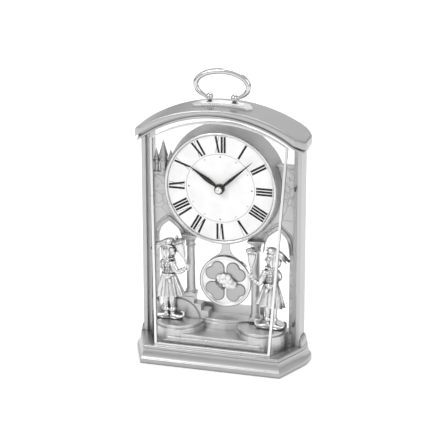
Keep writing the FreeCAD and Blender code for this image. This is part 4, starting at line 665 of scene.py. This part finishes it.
# Handle
POST_X, HANDLE_Y, HANDLE_Z, BALL_R = 13.6, 12.0, 291.4, 4.1
BAIL_HALF, BAIL_RISE, BAIL_MID_Z, BAIL_END_X = 28.8, 15.6, 304.0, 17.3
PLATE_Y, FIELD_HALF_X, FIELD_HALF_Y, FIELD_STRAIGHT_X, FIELD_END = 13.0, 24.0, 6.0, 19.5, 4.6


def bail():
    """Oval bow with thinner ends and a turned pivot at each."""
    last = pi - asin(BAIL_END_X / BAIL_HALF)
    path = []
    for k in range(61):
        share = -1 + k / 30
        turn = last * share
        path.append((BAIL_HALF * sin(turn), HANDLE_Y, BAIL_MID_Z + BAIL_RISE * cos(turn),
                     3.1 - 1.2 * share ** 4))
    pivot = [(0, -4.4), (1.2, -4.4), (1.2, -0.4), (1.9, -0.2), (2.1, 0.4), (1.9, 1.2), (1.2, 1.7), (0, 1.9)]
    pivots = [lathe(pivot, (side * BAIL_END_X, HANDLE_Y, HANDLE_Z), (side, 0, 0), 24) for side in (-1, 1)]
    return joined([sweep(path, 24, straight=True)] + pivots)


def ball_post():
    profile = [(0, 273.3), (1.5, 273.3), (1.5, 284.4), (3.75, 284.7), (3.9, 285.3), (3.6, 285.9),
               (2.7, 286.3), (2.0, 286.9), (1.9, 287.4), (2.3, 287.9)]
    ball = arc((0, HANDLE_Z), (BALL_R, BALL_R), -53, 90, 12)
    return lathe(profile + ball, (POST_X, HANDLE_Y, 0), UP, 40)


def plate_ridge():
    """Low raised field on the handle plate, on the crown's curve."""
    rows, verts = 41, []
    roof = arch(TOP_R, TOP_APEX, 0)
    for k in range(rows):
        x = FIELD_HALF_X * (2 * k / (rows - 1) - 1)
        past = max(0.0, abs(x) - FIELD_STRAIGHT_X) / FIELD_END
        half = FIELD_HALF_Y * sqrt(max(0.02, 1 - past ** 2))
        flat = half - 0.5
        section = ((-half, 2.3), (-half, 3.1), (-flat, 3.5), (flat, 3.5), (half, 3.1), (half, 2.3))
        verts += [(x, PLATE_Y + y, roof(x) + lift) for y, lift in section]
    return verts, ring_faces(rows, 6)


piece("bail_round", *bail(), "chrome", "handle", replaced=("handle_bail",), angle=50)
post = ball_post()
piece("ball_post_right", *post, "chrome", replaced=("handle_post_right",))
piece("ball_post_left", *moved(post, mirror=True), "chrome", replaced=("handle_post_left",))
piece("handle_plate_field", *plate_ridge(), "pad_white", slot="body_metal", angle=30)
neck = lathe([(1.6, 286.9), (2.35, 287.1), (2.35, 288.0), (1.6, 288.2)], (POST_X, HANDLE_Y, 0), UP, 32, True)
mirror_piece("post_neck", neck, "neck_dark", slot="chrome")


# Pendulum
RING_Z, ARM_Y, ARM_FRONT_Y, ARM_BACK_Y, FLARE_Y, FLARE_Z = 80.0, 26.4, 26.05, 27.6, 26.5, 109.5
RING_SPOT, PIVOT_Z = (0, ARM_Y, RING_Z), 214.0
DISC = [(0, 0), (28.4, 0), (28.9, 0.4), (29.0, 1.7), (28.7, 2.2), (28.2, 2.4), (26.9, 2.4), (26.4, 2.1),
        (26.2, 1.2), (25.9, 0.9), (0, 0.9)]
RIM = [(28.6, 0.2), (29.25, 0.4), (29.35, 1.2), (29.25, 2.0), (28.8, 2.35), (28.6, 2.2)]
LOBE_NEAR, LOBE_FAR, LOBE_R, LOBE_TURN, POINT_AT = 8.6, 15.3, 6.9, 42.0, 3.5


def heart(grow):
    """Petal on the upper right diagonal, with two lobes, a notch and a point inwards."""
    r = LOBE_R + grow
    notch = degrees(acos(min(1.0, (LOBE_FAR - LOBE_NEAR) / sqrt(2) / r))) - LOBE_TURN
    lobe = arc((LOBE_NEAR, LOBE_FAR), (r, r), 180, notch, 28)
    point = (LOBE_NEAR - r, POINT_AT)
    return [point] + lobe + [(z, x) for x, z in reversed(lobe)] + [point[::-1]]


def petals(grow, y0, y1):
    return joined([prism(clock_turn(heart(grow), 90 * k, RING_Z), y0, y1) for k in range(4)])


def crystal_cluster(seed, spots):
    """Cluster of irregular cut stones, from (x, y, z, radius) spots."""
    chance = random.Random(seed)
    parts = []
    for x, y, z, r in spots:
        bm = bmesh.new()
        axis = Vector((chance.uniform(-1, 1), -1.2, chance.uniform(-1, 1)))
        u, v, w = basis(axis)
        sides = chance.choice((5, 6, 7))
        spin = chance.uniform(0, 6.28)
        for share, height in ((0.75, -0.8), (1.0, 0.1), (0.62, 0.75), (0.0, 1.1)):
            for k in range(sides if share else 1):
                a = spin + 2 * pi * k / sides + chance.uniform(-0.12, 0.12)
                reach = r * share * chance.uniform(0.86, 1.12)
                bm.verts.new(Vector((x, y, z)) + (u * cos(a) + v * sin(a)) * reach + w * r * height)
        bmesh.ops.convex_hull(bm, input=bm.verts)
        used = [vert for vert in bm.verts if vert.link_faces]
        index = {vert: i for i, vert in enumerate(used)}
        parts.append(([vert.co.copy() for vert in used],
                      [tuple(index[vert] for vert in face.verts) for face in bm.faces]))
        bm.free()
    return joined(parts)


def arm():
    """Arm that flares over the disc, from (z, half width) rows, and its eye."""
    rows = [(210.0, 4.8), (150.0, 4.8), (119.0, 4.8), (116.5, 5.1), (114.0, 5.9), (112.0, 7.2), (110.3, 9.0),
            (108.6, 11.2), (106.6, 13.8), (104.4, 16.6), (102.2, 19.2), (100.2, 20.6), (98.6, 20.9)]
    verts = []
    for z, w in rows:
        out = ARM_FRONT_Y if z > FLARE_Z else FLARE_Y
        for x, y in ((-w, out + 0.5), (-w * 0.86, out + 0.12), (-w * 0.5, out), (w * 0.5, out),
                     (w * 0.86, out + 0.12), (w, out + 0.5), (w, ARM_BACK_Y), (-w, ARM_BACK_Y)):
            verts.append((x, y, z))
    eye = lathe([(1.6, 0), (5.0, 0), (5.0, 1.2), (1.6, 1.2)], (0, ARM_Y, PIVOT_Z), BACK, 48, True)
    return joined([(verts, ring_faces(len(rows), 8)), eye])


BRIGHT_SPOTS = [(-6.4, 22.4, 84.8, 3.7), (-1.4, 21.9, 86.2, 4.1), (3.8, 22.0, 85.4, 3.9),
                (-3.0, 21.5, 81.6, 4.2), (1.8, 21.0, 81.2, 5.0), (7.2, 21.5, 81.4, 4.4),
                (4.4, 21.0, 77.2, 4.7), (9.4, 21.6, 76.6, 4.1), (0.6, 21.6, 78.0, 3.6),
                (-6.4, 22.6, 82.0, 2.8), (11.2, 22.2, 79.8, 2.7)]
# Darker stones at the lower left of the cluster stand in for its shadow: painted shadow.
SHADOW_PAINT_SPOTS = [(-7.2, 22.6, 78.4, 3.4), (-4.0, 22.3, 75.8, 3.2), (-9.2, 23.0, 80.8, 1.9),
              (-2.2, 22.6, 72.9, 2.2)]
YOKE_SPOTS = [(18.2, 104.4, 1.3), (20.1, 102.9, 1.25), (21.9, 101.2, 1.1), (23.4, 99.4, 0.9),
              (21.3, 99.6, 1.2)]


def swinging(name, part, mat, slot="chrome", **how):
    piece(name, *part, mat, "pendulum", slot=slot, **how)


swinging("pendulum_disc", lathe(DISC, RING_SPOT, FRONT, 128), "plate_white", replaced=("pendulum_ring",))
swinging("pendulum_rim", lathe(RIM, RING_SPOT, FRONT, 128, True), "rim_dark")
swinging("petal_edges", petals(0.45, 25.05, 25.7), "petal_dark", smooth=False)
swinging("petal_faces", petals(-0.35, 24.75, 25.6), "petal_grey", smooth=False, replaced=("pendulum_petals",))
swinging("crystal_bright", crystal_cluster(5, BRIGHT_SPOTS), "crystal_white", "crystal", smooth=False,
         replaced=("pendulum_gem",))
swinging("crystal_shade", crystal_cluster(9, SHADOW_PAINT_SPOTS), "crystal_dark", "crystal", smooth=False)
swinging("pendulum_bar", arm(), "arm_bright", replaced=("pendulum_arm",), angle=30)
swinging("yoke_beads", joined([blob(x, 26.9, z, r, r * 0.8, r, 12) for x, z, r in YOKE_SPOTS]), "cast_silver")


# Columns
COLUMN_X, COLUMN_Y, COLUMN_PLINTH_H, FOOT_RIGHT_Z, FOOT_LEFT_Z = 36.6, 16.4, 4.4, 42.0, 63.9


def column_block(x, half, deep, z0, z1, cut):
    """Square block of a column, with chamfered top and bottom edges."""
    verts = []
    for grow, z in ((-cut, z0), (0, z0 + cut), (0, z1 - cut), (-cut, z1)):
        verts += [(x + sx * (half + grow), COLUMN_Y + sy * (deep + grow), z)
                  for sx, sy in ((-1, -1), (1, -1), (1, 1), (-1, 1))]
    return verts, ring_faces(4, 4)


def column_form(x, foot):
    """Plinth, turned base, tapered shaft, bell and two slabs on top."""
    top = foot + COLUMN_PLINTH_H
    base = [(0, -0.6), (6.1, -0.5), (6.35, 0.2), (6.5, 0.8), (6.3, 1.4), (5.6, 1.8), (5.3, 2.2), (5.5, 2.7),
            (5.3, 3.2), (4.95, 3.6), (4.85, 6)]
    profile = [(r, top + h) for r, h in base]
    profile += [(4.4, 120.6), (4.5, 121.6), (5.4, 121.9), (5.75, 122.5), (5.4, 123.1), (4.6, 123.5),
                (4.45, 124.4), (4.7, 126.2), (5.3, 128.0), (6.2, 129.6), (6.6, 130.3), (6.6, 131.0),
                (0, 131.5)]
    shaft = lathe(profile, (x, COLUMN_Y, 0), UP, 48)
    return joined([column_block(x, 6.5, 6.3, foot, top, 0.4), shaft,
                   column_block(x, 7.4, 6.2, 130.8, 132.6, 0.3),
                   column_block(x, 8.4, 6.6, 132.4, 134.6, 0.4)])


piece("column_form_right", *column_form(COLUMN_X, FOOT_RIGHT_Z), "castle_metal", replaced=("column_right",))
piece("column_form_left", *column_form(-COLUMN_X, FOOT_LEFT_Z), "castle_metal", replaced=("column_left",))


# Castle and stage
ARCH_X, ARCH_FOOT_Z, ARCH_TOP_Z, ARCH_LEFT_X, ARCH_RIGHT_X = 61.0, 121.0, 147.5, 45.0, 73.8
COURSE_Y, COURSE_END_X, JOINT_Y = 16.9, 79.2, 16.95
WALL_RIGHT_Z, WALL_LEFT_Z, PANEL_Y, PANEL_T = 221.0, 202.0, 8.6, 1.1
PODIUM_Y, PEDESTAL_X, PEDESTAL_Y = 62.5, 46.6, 7.0


def arch_mouldings():
    """Three lines of beads round the pointed arch of the right wall."""
    parts = []
    for grow, y, r in ((0.5, 16.0, 0.75), (4.9, 16.0, 0.6), (8.6, 17.0, 0.5)):
        top = ARCH_TOP_Z + grow
        for side, foot in ((-1, ARCH_LEFT_X - grow), (1, ARCH_RIGHT_X + grow)):
            path = [(foot, y, ARCH_FOOT_Z, r),
                    ((foot + ARCH_X) / 2 + side * 3.6, y, (ARCH_FOOT_Z + top) / 2 + 3.6, r),
                    (ARCH_X + side * 0.4, y, top, r)]
            parts.append(sweep(path, 10, 10))
    return joined(parts)


def wall_lines(top):
    """Two string courses and a few joints, as (x, drop) pairs below the top."""
    courses = ((66.4, 4.6, 0.55), (68.8, 22.0, 0.45))
    joints = ((69.0, 13.0, 72.6, 13.6), (72.6, 13.6, 73.6, 17.4), (73.6, 17.4, 78.8, 17.0),
              (68.6, 32.0, 71.8, 36.0), (71.8, 36.0, 77.0, 35.4))
    parts = [bead([(x, COURSE_Y, top - drop), (COURSE_END_X, COURSE_Y, top - drop)], r)
             for x, drop, r in courses]
    return joined(parts + [bead([(x0, JOINT_Y, top - drop0), (x1, JOINT_Y, top - drop1)], 0.35)
                           for x0, drop0, x1, drop1 in joints])


def round_panel():
    """Half-round panel and a leaf with rolled edges, behind the left figure's feet."""
    parts = []
    disc, leaf = arc((-48.8, 36.8), (24.2, 24.2), 7.5, 172.5, 48), arc((-79.0, 49.6), (9.4, 8.8), -88, 88, 32)
    for edge in (disc, leaf):
        parts += [prism(edge, PANEL_Y, PANEL_Y + PANEL_T), bead([(x, PANEL_Y, z) for x, z in edge], 0.55, 10)]
    return joined(parts)


def rim_arc(x, y, r, z, start, end):
    """Bead round a step's edge between two angles; zero faces the front."""
    return bead([(*spot, z) for spot in arc((x, y), (r, r), start - 90, end - 90, 40)], 0.45)


def stage_rims():
    """Beads along the edges of the podium, pedestals and front steps."""
    parts = [rim_arc(0, PODIUM_Y, 58.0, 38.2, -20.5, 20.5), rim_arc(0, PODIUM_Y, 57.0, 41.7, -21.0, 36.5)]
    for side in (-1, 1):
        for r, z, reach in ((28.0, 36.0, 88), (26.2, 39.6, 92)):
            parts.append(rim_arc(side * PEDESTAL_X, PEDESTAL_Y, r, z, -reach, reach))
    for k in range(3):
        half, y, z = 47.0 + 4.8 * k, -19.5 - 2.5 * k, 30.8 - 3.0 * k
        parts.append(bead([(-half, y, z), (half, y, z)], 0.35))
    return joined(parts)


def clips():
    """Two small clips with round heads on the front of the right post."""
    parts = []
    for z in (45.4, 198.8):
        outline = [(81.0, z - 2.2), (82.8, z - 2.2), (82.8, z + 2.0), (82.2, z + 2.6), (81.0, z + 2.6)]
        parts += [prism(outline, 4.6, 6.3), blob(81.8, 4.6, z, 0.9, 0.6, 0.9, 12)]
    return joined(parts)


mirror_piece("arch_moulding", arch_mouldings(), "castle_metal")
piece("wall_courses_right", *wall_lines(WALL_RIGHT_Z), "castle_metal")
piece("wall_courses_left", *moved(wall_lines(WALL_LEFT_Z), mirror=True), "castle_metal")
piece("round_panel", *round_panel(), "castle_metal")
piece("stage_rims", *stage_rims(), "trim_bright", slot="body_metal")
piece("glass_clips", *clips(), "neck_dark", slot="steel")


# Figures: each sub-form stands on the figure's own origin and looks to +X
PEDESTAL_TOP, FIG_X, FIG_Y = 39.8, 57.4, 3.0
CUP_DROP, CUP_Y = 4.0, -4.3
BELT_Z, HEM_DROP, CAST_VOXEL = 52.5, 25.5, 0.42


def cup_form():
    """Covered cup on a stem, with a ball below and a knob on top."""
    profile = arc((0, 0), (2.1, 2.1), -90, 60, 10)
    profile += [(0.9, 2.3), (0.75, 5.0), (0.95, 8.0), (1.6, 9.4), (1.9, 10.2), (1.5, 11.0), (1.2, 12.2),
                (1.7, 14.0), (2.8, 16.6), (3.8, 19.6), (4.5, 22.6), (4.9, 25.4), (5.2, 28.0), (5.8, 30.2),
                (6.6, 31.4), (7.3, 31.9), (7.6, 32.6), (7.4, 33.4), (6.7, 33.8), (5.8, 34.0), (5.2, 34.6),
                (4.0, 35.2), (2.4, 35.8), (1.1, 36.2), (0.9, 36.6), (1.7, 37.0), (2.1, 37.9), (1.7, 39.0),
                (0.9, 39.6), (0, 39.8)]
    return lathe(profile, (0, 0, -CUP_DROP), UP, 48)


def pleated_skirt():
    """Deep pleats that spread from the belt to a sloping hem and turn back inside."""
    verts, count = [], 144
    levels = [(52.5, 0.02), (49.0, 0.25), (45.0, 0.55), (41.0, 0.8), (36.0, 0.95), (31.0, 1.0), (27.6, 1.0),
              (26.6, 0.9), (28.4, 0.7), (33.0, 0.6)]
    inside = {8: 0.9, 9: 0.78}
    for i, (z, deep) in enumerate(levels):
        share = min(1.0, (BELT_Z - z) / HEM_DROP)
        half_x = (7.6 + 9.6 * share ** 0.9) * inside.get(i, 1.0)
        half_y = (5.6 + 4.9 * share ** 0.9) * inside.get(i, 1.0)
        for a in around(count):
            fold = abs(sin(4.5 * a + 0.4)) ** 0.55
            wave = 1.0 - 0.25 * deep * (1 - fold)
            slope = 1.6 * cos(a) * share if i > 3 else 0
            x = half_x * wave * cos(a) + 1.2 * share
            verts.append((x, half_y * wave * sin(a), z + slope))
    return verts, ring_faces(len(levels), count)


def ruffle(z, r, count, depth):
    """Gathered collar of small folds."""
    rows = ((0.45, 1.6), (0.8, 1.5), (1.0, 0.5), (1.04, -0.4), (0.85, -1.2), (0.45, -1.3))
    verts = []
    for share, h in rows:
        for a in around(96):
            reach = r * share * (1 + depth * cos(count * a) * share)
            lift = 0.5 * cos(count * a + 1.2) * share
            verts.append((reach * cos(a), reach * 0.86 * sin(a), z + h + lift))
    return verts, ring_faces(len(rows), 96)


def chest():
    """Belt, bodice, collar and four rows of beads."""
    belt = [(7.0, 50.4), (8.0, 50.6), (8.3, 51.4), (8.3, 52.8), (8.0, 53.6), (7.0, 53.8)]
    rows = [(7.3, 6.4, 52.0), (7.5, 6.0, 56.0), (8.2, 6.0, 60.0), (8.9, 6.3, 64.0), (8.0, 5.9, 67.5),
            (5.0, 4.4, 70.0), (3.2, 3.0, 72.0)]
    bodice = [(hx * cos(a), hy * sin(a), z) for hx, hy, z in rows for a in around(32)]
    beads = [blob(x + 0.5 * (row % 2), -6.2, 56.4 + 3.0 * row, 1.1, 1.0, 1.0, 10)
             for row in range(4) for x in (-4.6, -1.6, 1.4)]
    return [lathe(belt, (0, 0, 0), UP, 64, True), (bodice, ring_faces(len(rows), 32)),
            ruffle(70.2, 6.9, 9, 0.09)] + beads


def arms(gx, gz):
    """Slashed sleeve, holding arm and fist at the grip's place, and the arm behind."""
    holding = [(5.4, -3.4, 66.5, 3.2), (8.3, -4.8, 60.6, 3.3), (gx * 0.5, -5.4, gz - 6.6, 3.0),
               (gx * 0.72, -5.0, gz - 6.4, 2.7), (gx * 0.88, -4.6, gz - 3.2, 2.2),
               (gx - 0.4, -4.3, gz - 0.4, 1.9)]
    elbow = [(gx * 0.74, -5.0, gz - 6.0, 3.2), (gx * 0.8, -4.9, gz - 4.6, 3.3)]
    behind = [(-5.8, 0.5, 66.0, 3.2), (-8.4, 2.6, 60.5, 3.2), (-7.4, 5.0, 55.8, 2.6), (-2.5, 7.0, 54.2, 2.0),
              (1.5, 7.2, 54.0, 1.9)]
    parts = [blob(5.2 + 0.7 * k, -4.7, 66.8 - 2.3 * k, 4.1 - 0.2 * k, 3.5, 1.85, 20) for k in range(5)]
    parts += [sweep(holding, 18, 5), sweep(elbow, 18, 2)]
    parts += [blob(gx + 1.6, -5.4 - 0.2 * k, gz + 1.9 - 1.25 * k, 2.0, 1.5, 0.75, 12) for k in range(4)]
    return parts + [blob(gx - 0.6, -4.9, gz + 0.2, 2.3, 1.9, 2.5, 16), sweep(behind, 18, 5)]


def belt_gear():
    """Round medallion and a hanging pouch."""
    pouch = [(2.6, -7.4, 48.5, 1.9), (3.2, -7.9, 45.5, 1.7), (3.9, -8.4, 42.6, 0.5)]
    return [blob(0.5, -7.0, 50.6, 3.3, 1.5, 3.3, 18), blob(0.5, -8.1, 50.6, 1.9, 1.0, 1.9, 14),
            sweep(pouch, 12, 3)]


def boots():
    """Legs in soft boots with a turned-down cuff and curled toes."""
    leg = ((3.5, 0, 33.0, 4.0), (3.5, -0.3, 22.0, 3.7), (3.5, 0.2, 14.5, 2.9), (3.5, 0.3, 9.0, 2.5),
           (3.5, 0.1, 4.2, 2.7), (4.1, 0, 2.3, 2.3))
    cuff = [(2.6, 9.2), (3.7, 9.0), (4.1, 10.2), (3.8, 11.4), (3.2, 12.6), (2.6, 12.8)]
    shoe = ((1.1, 0.3, 2.6, 2.4), (5.0, -0.4, 3.2, 3.2), (9.0, -1.2, 2.8, 2.9), (12.8, -1.8, 2.8, 2.4),
            (16.0, -2.0, 4.4, 1.8), (16.9, -2.0, 7.4, 1.4), (15.4, -2.0, 9.4, 1.2), (13.6, -2.0, 8.8, 0.9))
    parts = []
    for side in (-1, 1):
        parts += [sweep([(side * x, y, z, r) for x, y, z, r in leg], 18, 4),
                  lathe(cuff, (side * 3.5, 0.2, 0), UP, 32, True),
                  sweep([(side * x, y, z, r) for x, y, z, r in shoe], 16, 5),
                  blob(side * 7.4, -0.8, 1.1, 8.8, 3.8, 1.1, 20)]
    return parts


def head(x, z):
    """Plain head: skull, jaw, chin, cheeks, brows, eyes, lips, nose and neck."""
    features = ((-0.8, 0, 1.6, 5.9, 5.2, 6.4, 28), (1.4, 0, -2.4, 3.9, 3.9, 5.0, 24),
                (3.3, 0, -6.0, 1.7, 1.8, 1.5, 14), (2.9, 2.3, -1.9, 1.7, 1.6, 2.2, 14),
                (4.1, 2.0, 2.1, 1.2, 1.7, 0.6, 12), (4.2, 1.9, 0.8, 0.8, 1.0, 0.6, 12),
                (4.9, 0, -3.4, 0.9, 1.4, 0.5, 12), (4.7, 0, -4.4, 0.9, 1.2, 0.5, 12))
    nose = [(x + 4.7, 0, z + 2.2, 0.6), (x + 5.9, 0, z + 0.4, 0.8), (x + 6.9, 0, z - 1.2, 1.0),
            (x + 5.6, 0, z - 1.9, 0.9)]
    parts = [blob(x + dx, side * y, z + dz, rx, ry, rz, count) for dx, y, dz, rx, ry, rz, count in features
             for side in ((-1, 1) if y else (1,))]
    return parts + [sweep(nose, 12, 4), sweep([(0, 0, 68.0, 3.8), (x - 0.3, 0, 76.0, 3.5)], 18, 2)]


def hair(head_x):
    """Wavy hair in thick locks, open round the face."""
    parts = [blob(head_x - 3.2, 0, 78.0, 6.3, 5.8, 7.8, 24)]
    for k in range(9):
        a = radians(84 + 24.0 * k)
        x, y = 6.4 * cos(a) - 1.6, 5.7 * sin(a)
        sway = 0.35 if k % 2 else -0.35
        lock = [(head_x + x * 0.8 - 0.4, y * 0.8, 86.0, 1.8), (head_x + x - 0.8 + sway, y * 1.05, 82.0, 1.7),
                (head_x + x * 1.08 - 0.8 - sway, y * 1.1, 77.6, 1.9),
                (head_x + x - 0.6 + sway, y, 73.6, 1.6), (head_x * 0.6 + x * 0.86 - 1.0, y * 0.8, 70.8, 0.9)]
        parts.append(sweep(lock, 12, 4))
    return parts


def cap(head_x):
    """Soft cap with a rolled brim, a peak in front and a wrinkled tail behind."""
    brim = [(4.8, 84.2), (6.6, 84.0), (7.1, 85.0), (6.9, 86.2), (6.0, 86.9), (4.8, 86.7)]
    bag = [(head_x + 4.2, 0, 89.4, 2.4), (head_x + 1.0, 0, 89.2, 4.4), (head_x - 3.2, 0, 88.0, 4.9),
           (head_x - 8.6, 0, 85.8, 4.0), (-12.8, 0, 83.4, 3.0), (-16.4, 0, 81.0, 2.1), (-18.6, 0, 79.6, 1.1)]
    peak = [(head_x + 3.6, 0, 89.6, 2.4), (head_x + 5.2, 0, 91.6, 1.5), (head_x + 5.9, 0, 93.4, 0.6)]
    parts = [lathe(brim, (head_x - 1.4, 0, 0), UP, 56, True), sweep(bag, 24, 5, wide=1.1),
             blob(-19.0, 0, 79.2, 1.7, 1.7, 1.7, 12), sweep(peak, 16, 4)]
    for k in range(4):
        drop = 2.0 * k
        wrinkle = [(-6.5 - 2.3 * k, -4.6 + 0.8 * k, 87.5 - drop, 0.5),
                   (-9.0 - 2.3 * k, -3.8 + 0.8 * k, 83.6 - drop, 0.7),
                   (-10.4 - 2.2 * k, -2.0 + 0.5 * k, 81.6 - drop, 0.4)]
        parts.append(sweep(wrinkle, 8, 3))
    return parts


# The side, the grip's x and z, the cup's lean and the head's place forwards
for side, grip, lean, head_x in ((-1, (21.6, 64.0), -19.0, 2.4), (1, (21.4, 60.0), -3.0, 0.0)):
    name = "left" if side < 0 else "right"
    place = (side * FIG_X, FIG_Y, PEDESTAL_TOP)
    form = [pleated_skirt()] + chest() + arms(*grip) + belt_gear() + boots()
    form += head(head_x + 0.3, 79.6) + hair(head_x) + cap(head_x)
    form = [moved(part, place, mirror=side > 0) for part in form]
    voxel_cast("figure_cast_" + name, form, CAST_VOXEL, "cast_silver", replaced=("figure_" + name,))
    cup = moved(moved(cup_form(), turn=lean), (grip[0], CUP_Y, grip[1]))
    piece("cup_turned_" + name, *moved(cup, place, mirror=side > 0), "cup_silver", angle=50,
          replaced=("cup_" + name,), slot="cast_silver")


# Floor, world and lights
FLOOR_TONE, FLOOR_GLOW = 0.93, 0.24


def seen_rays(tree, *others):
    """One for rays that show the white background, zero for rays that light the object."""
    path = add_node(tree, "LightPath")
    source = path.outputs["Is Camera Ray"]
    for kind in ("Is Transmission Ray", *others):
        source = add_node(tree, "Math", {0: source, 1: path.outputs[kind]}, operation="MAXIMUM").outputs[0]
    return source


def backdrop():
    """Plain white surface that keeps the object's shadow."""
    tree, shader = new_material("floor_white")
    tint = ramp(tree, object_noise(tree, 6.0), grey(FLOOR_TONE * 0.985), grey(FLOOR_TONE))
    feed(shader, {"Base Color": tint, "Roughness": 0.9, "Specular IOR Level": 0.1})
    seen = seen_rays(tree, "Is Glossy Ray")
    factor = add_node(tree, "Math", {0: seen, 1: FLOOR_GLOW}, operation="MULTIPLY")
    glow = add_node(tree, "Emission", {"Strength": factor.outputs[0]})
    both = add_node(tree, "AddShader", {0: shader.outputs[0], 1: glow.outputs[0]})
    feed(tree.nodes["Material Output"], {"Surface": both.outputs[0]})


def light_world():
    """Soft sky, brightest 10 to 35 degrees up, that the camera sees as plain white."""
    world = bpy.data.worlds.new("world")
    bpy.context.scene.world = world
    world.use_nodes = True
    tree = world.node_tree
    split = add_node(tree, "SeparateXYZ", {"Vector": add_node(tree, "TexCoord").outputs["Generated"]})
    sky = ramp(tree, split.outputs["Z"], grey(0.30), grey(0.85), 0.02, 0.95)
    for place, tone in ((0.10, 0.34), (0.17, 0.95), (0.55, 1.0), (0.72, 0.6)):
        stop = sky.node.color_ramp.elements.new(place)
        stop.color = (tone, tone, tone, 1)
    blend = add_node(tree, "Mix", {"A": sky, "B": (1, 1, 1, 1), "Factor": seen_rays(tree)}, data_type="RGBA")
    feed(tree.nodes["Background"], {"Color": blend.outputs["Result"], "Strength": 1.0})


def area(name, place, target, size, power):
    data = bpy.data.lights.new(name, "AREA")
    data.shape = "RECTANGLE"
    data.size, data.size_y = size
    data.energy = power
    obj = linked(name, data)
    obj.location = place
    obj.rotation_euler = (Vector(target) - Vector(place)).to_track_quat("-Z", "Y").to_euler()


bpy.ops.mesh.primitive_plane_add(size=12.0, location=(0, 0, 0))
floor = bpy.context.object
floor.name = "floor"
backdrop()
floor.data.materials.append(MATS["floor_white"])
light_world()
area("key", (-0.9, -1.3, 1.5), (0, 0, 0.15), (0.9, 0.9), 14.0)
area("fill", (1.4, -1.0, 0.9), (0, 0, 0.15), (0.8, 1.2), 5.0)
area("top", (0.1, 0.5, 1.7), (0, 0, 0.2), (1.0, 0.8), 7.0)


# Camera at the photograph's viewing angle, fitted to the case's edges and the dial
AZIMUTH, ELEVATION = radians(16.080), radians(18.935)
DISTANCE, RIGHTWARDS, UPWARDS, AIM = 2001.51, 3.140, 3.029, Vector((0, 6.0, 150.0))
SENSOR, FOCAL_PIXELS, FRAME_PIXELS = 36.0, 1868.36, 447
back = Vector((sin(AZIMUTH) * cos(ELEVATION), -cos(AZIMUTH) * cos(ELEVATION), sin(ELEVATION)))
right = Vector((cos(AZIMUTH), sin(AZIMUTH), 0))
up = back.cross(right)
eye = AIM + back * DISTANCE + right * RIGHTWARDS + up * UPWARDS
camera = bpy.data.cameras.new("camera")
camera.sensor_width = SENSOR
camera.lens = SENSOR * FOCAL_PIXELS / FRAME_PIXELS
camera.clip_start, camera.clip_end = 0.1, 20.0
shot = linked("camera", camera)
shot.matrix_world = Matrix.Translation(eye * MM) @ Matrix((right, up, back)).transposed().to_4x4()
bpy.context.scene.camera = shot
bpy.context.scene.view_settings.view_transform = "Standard"
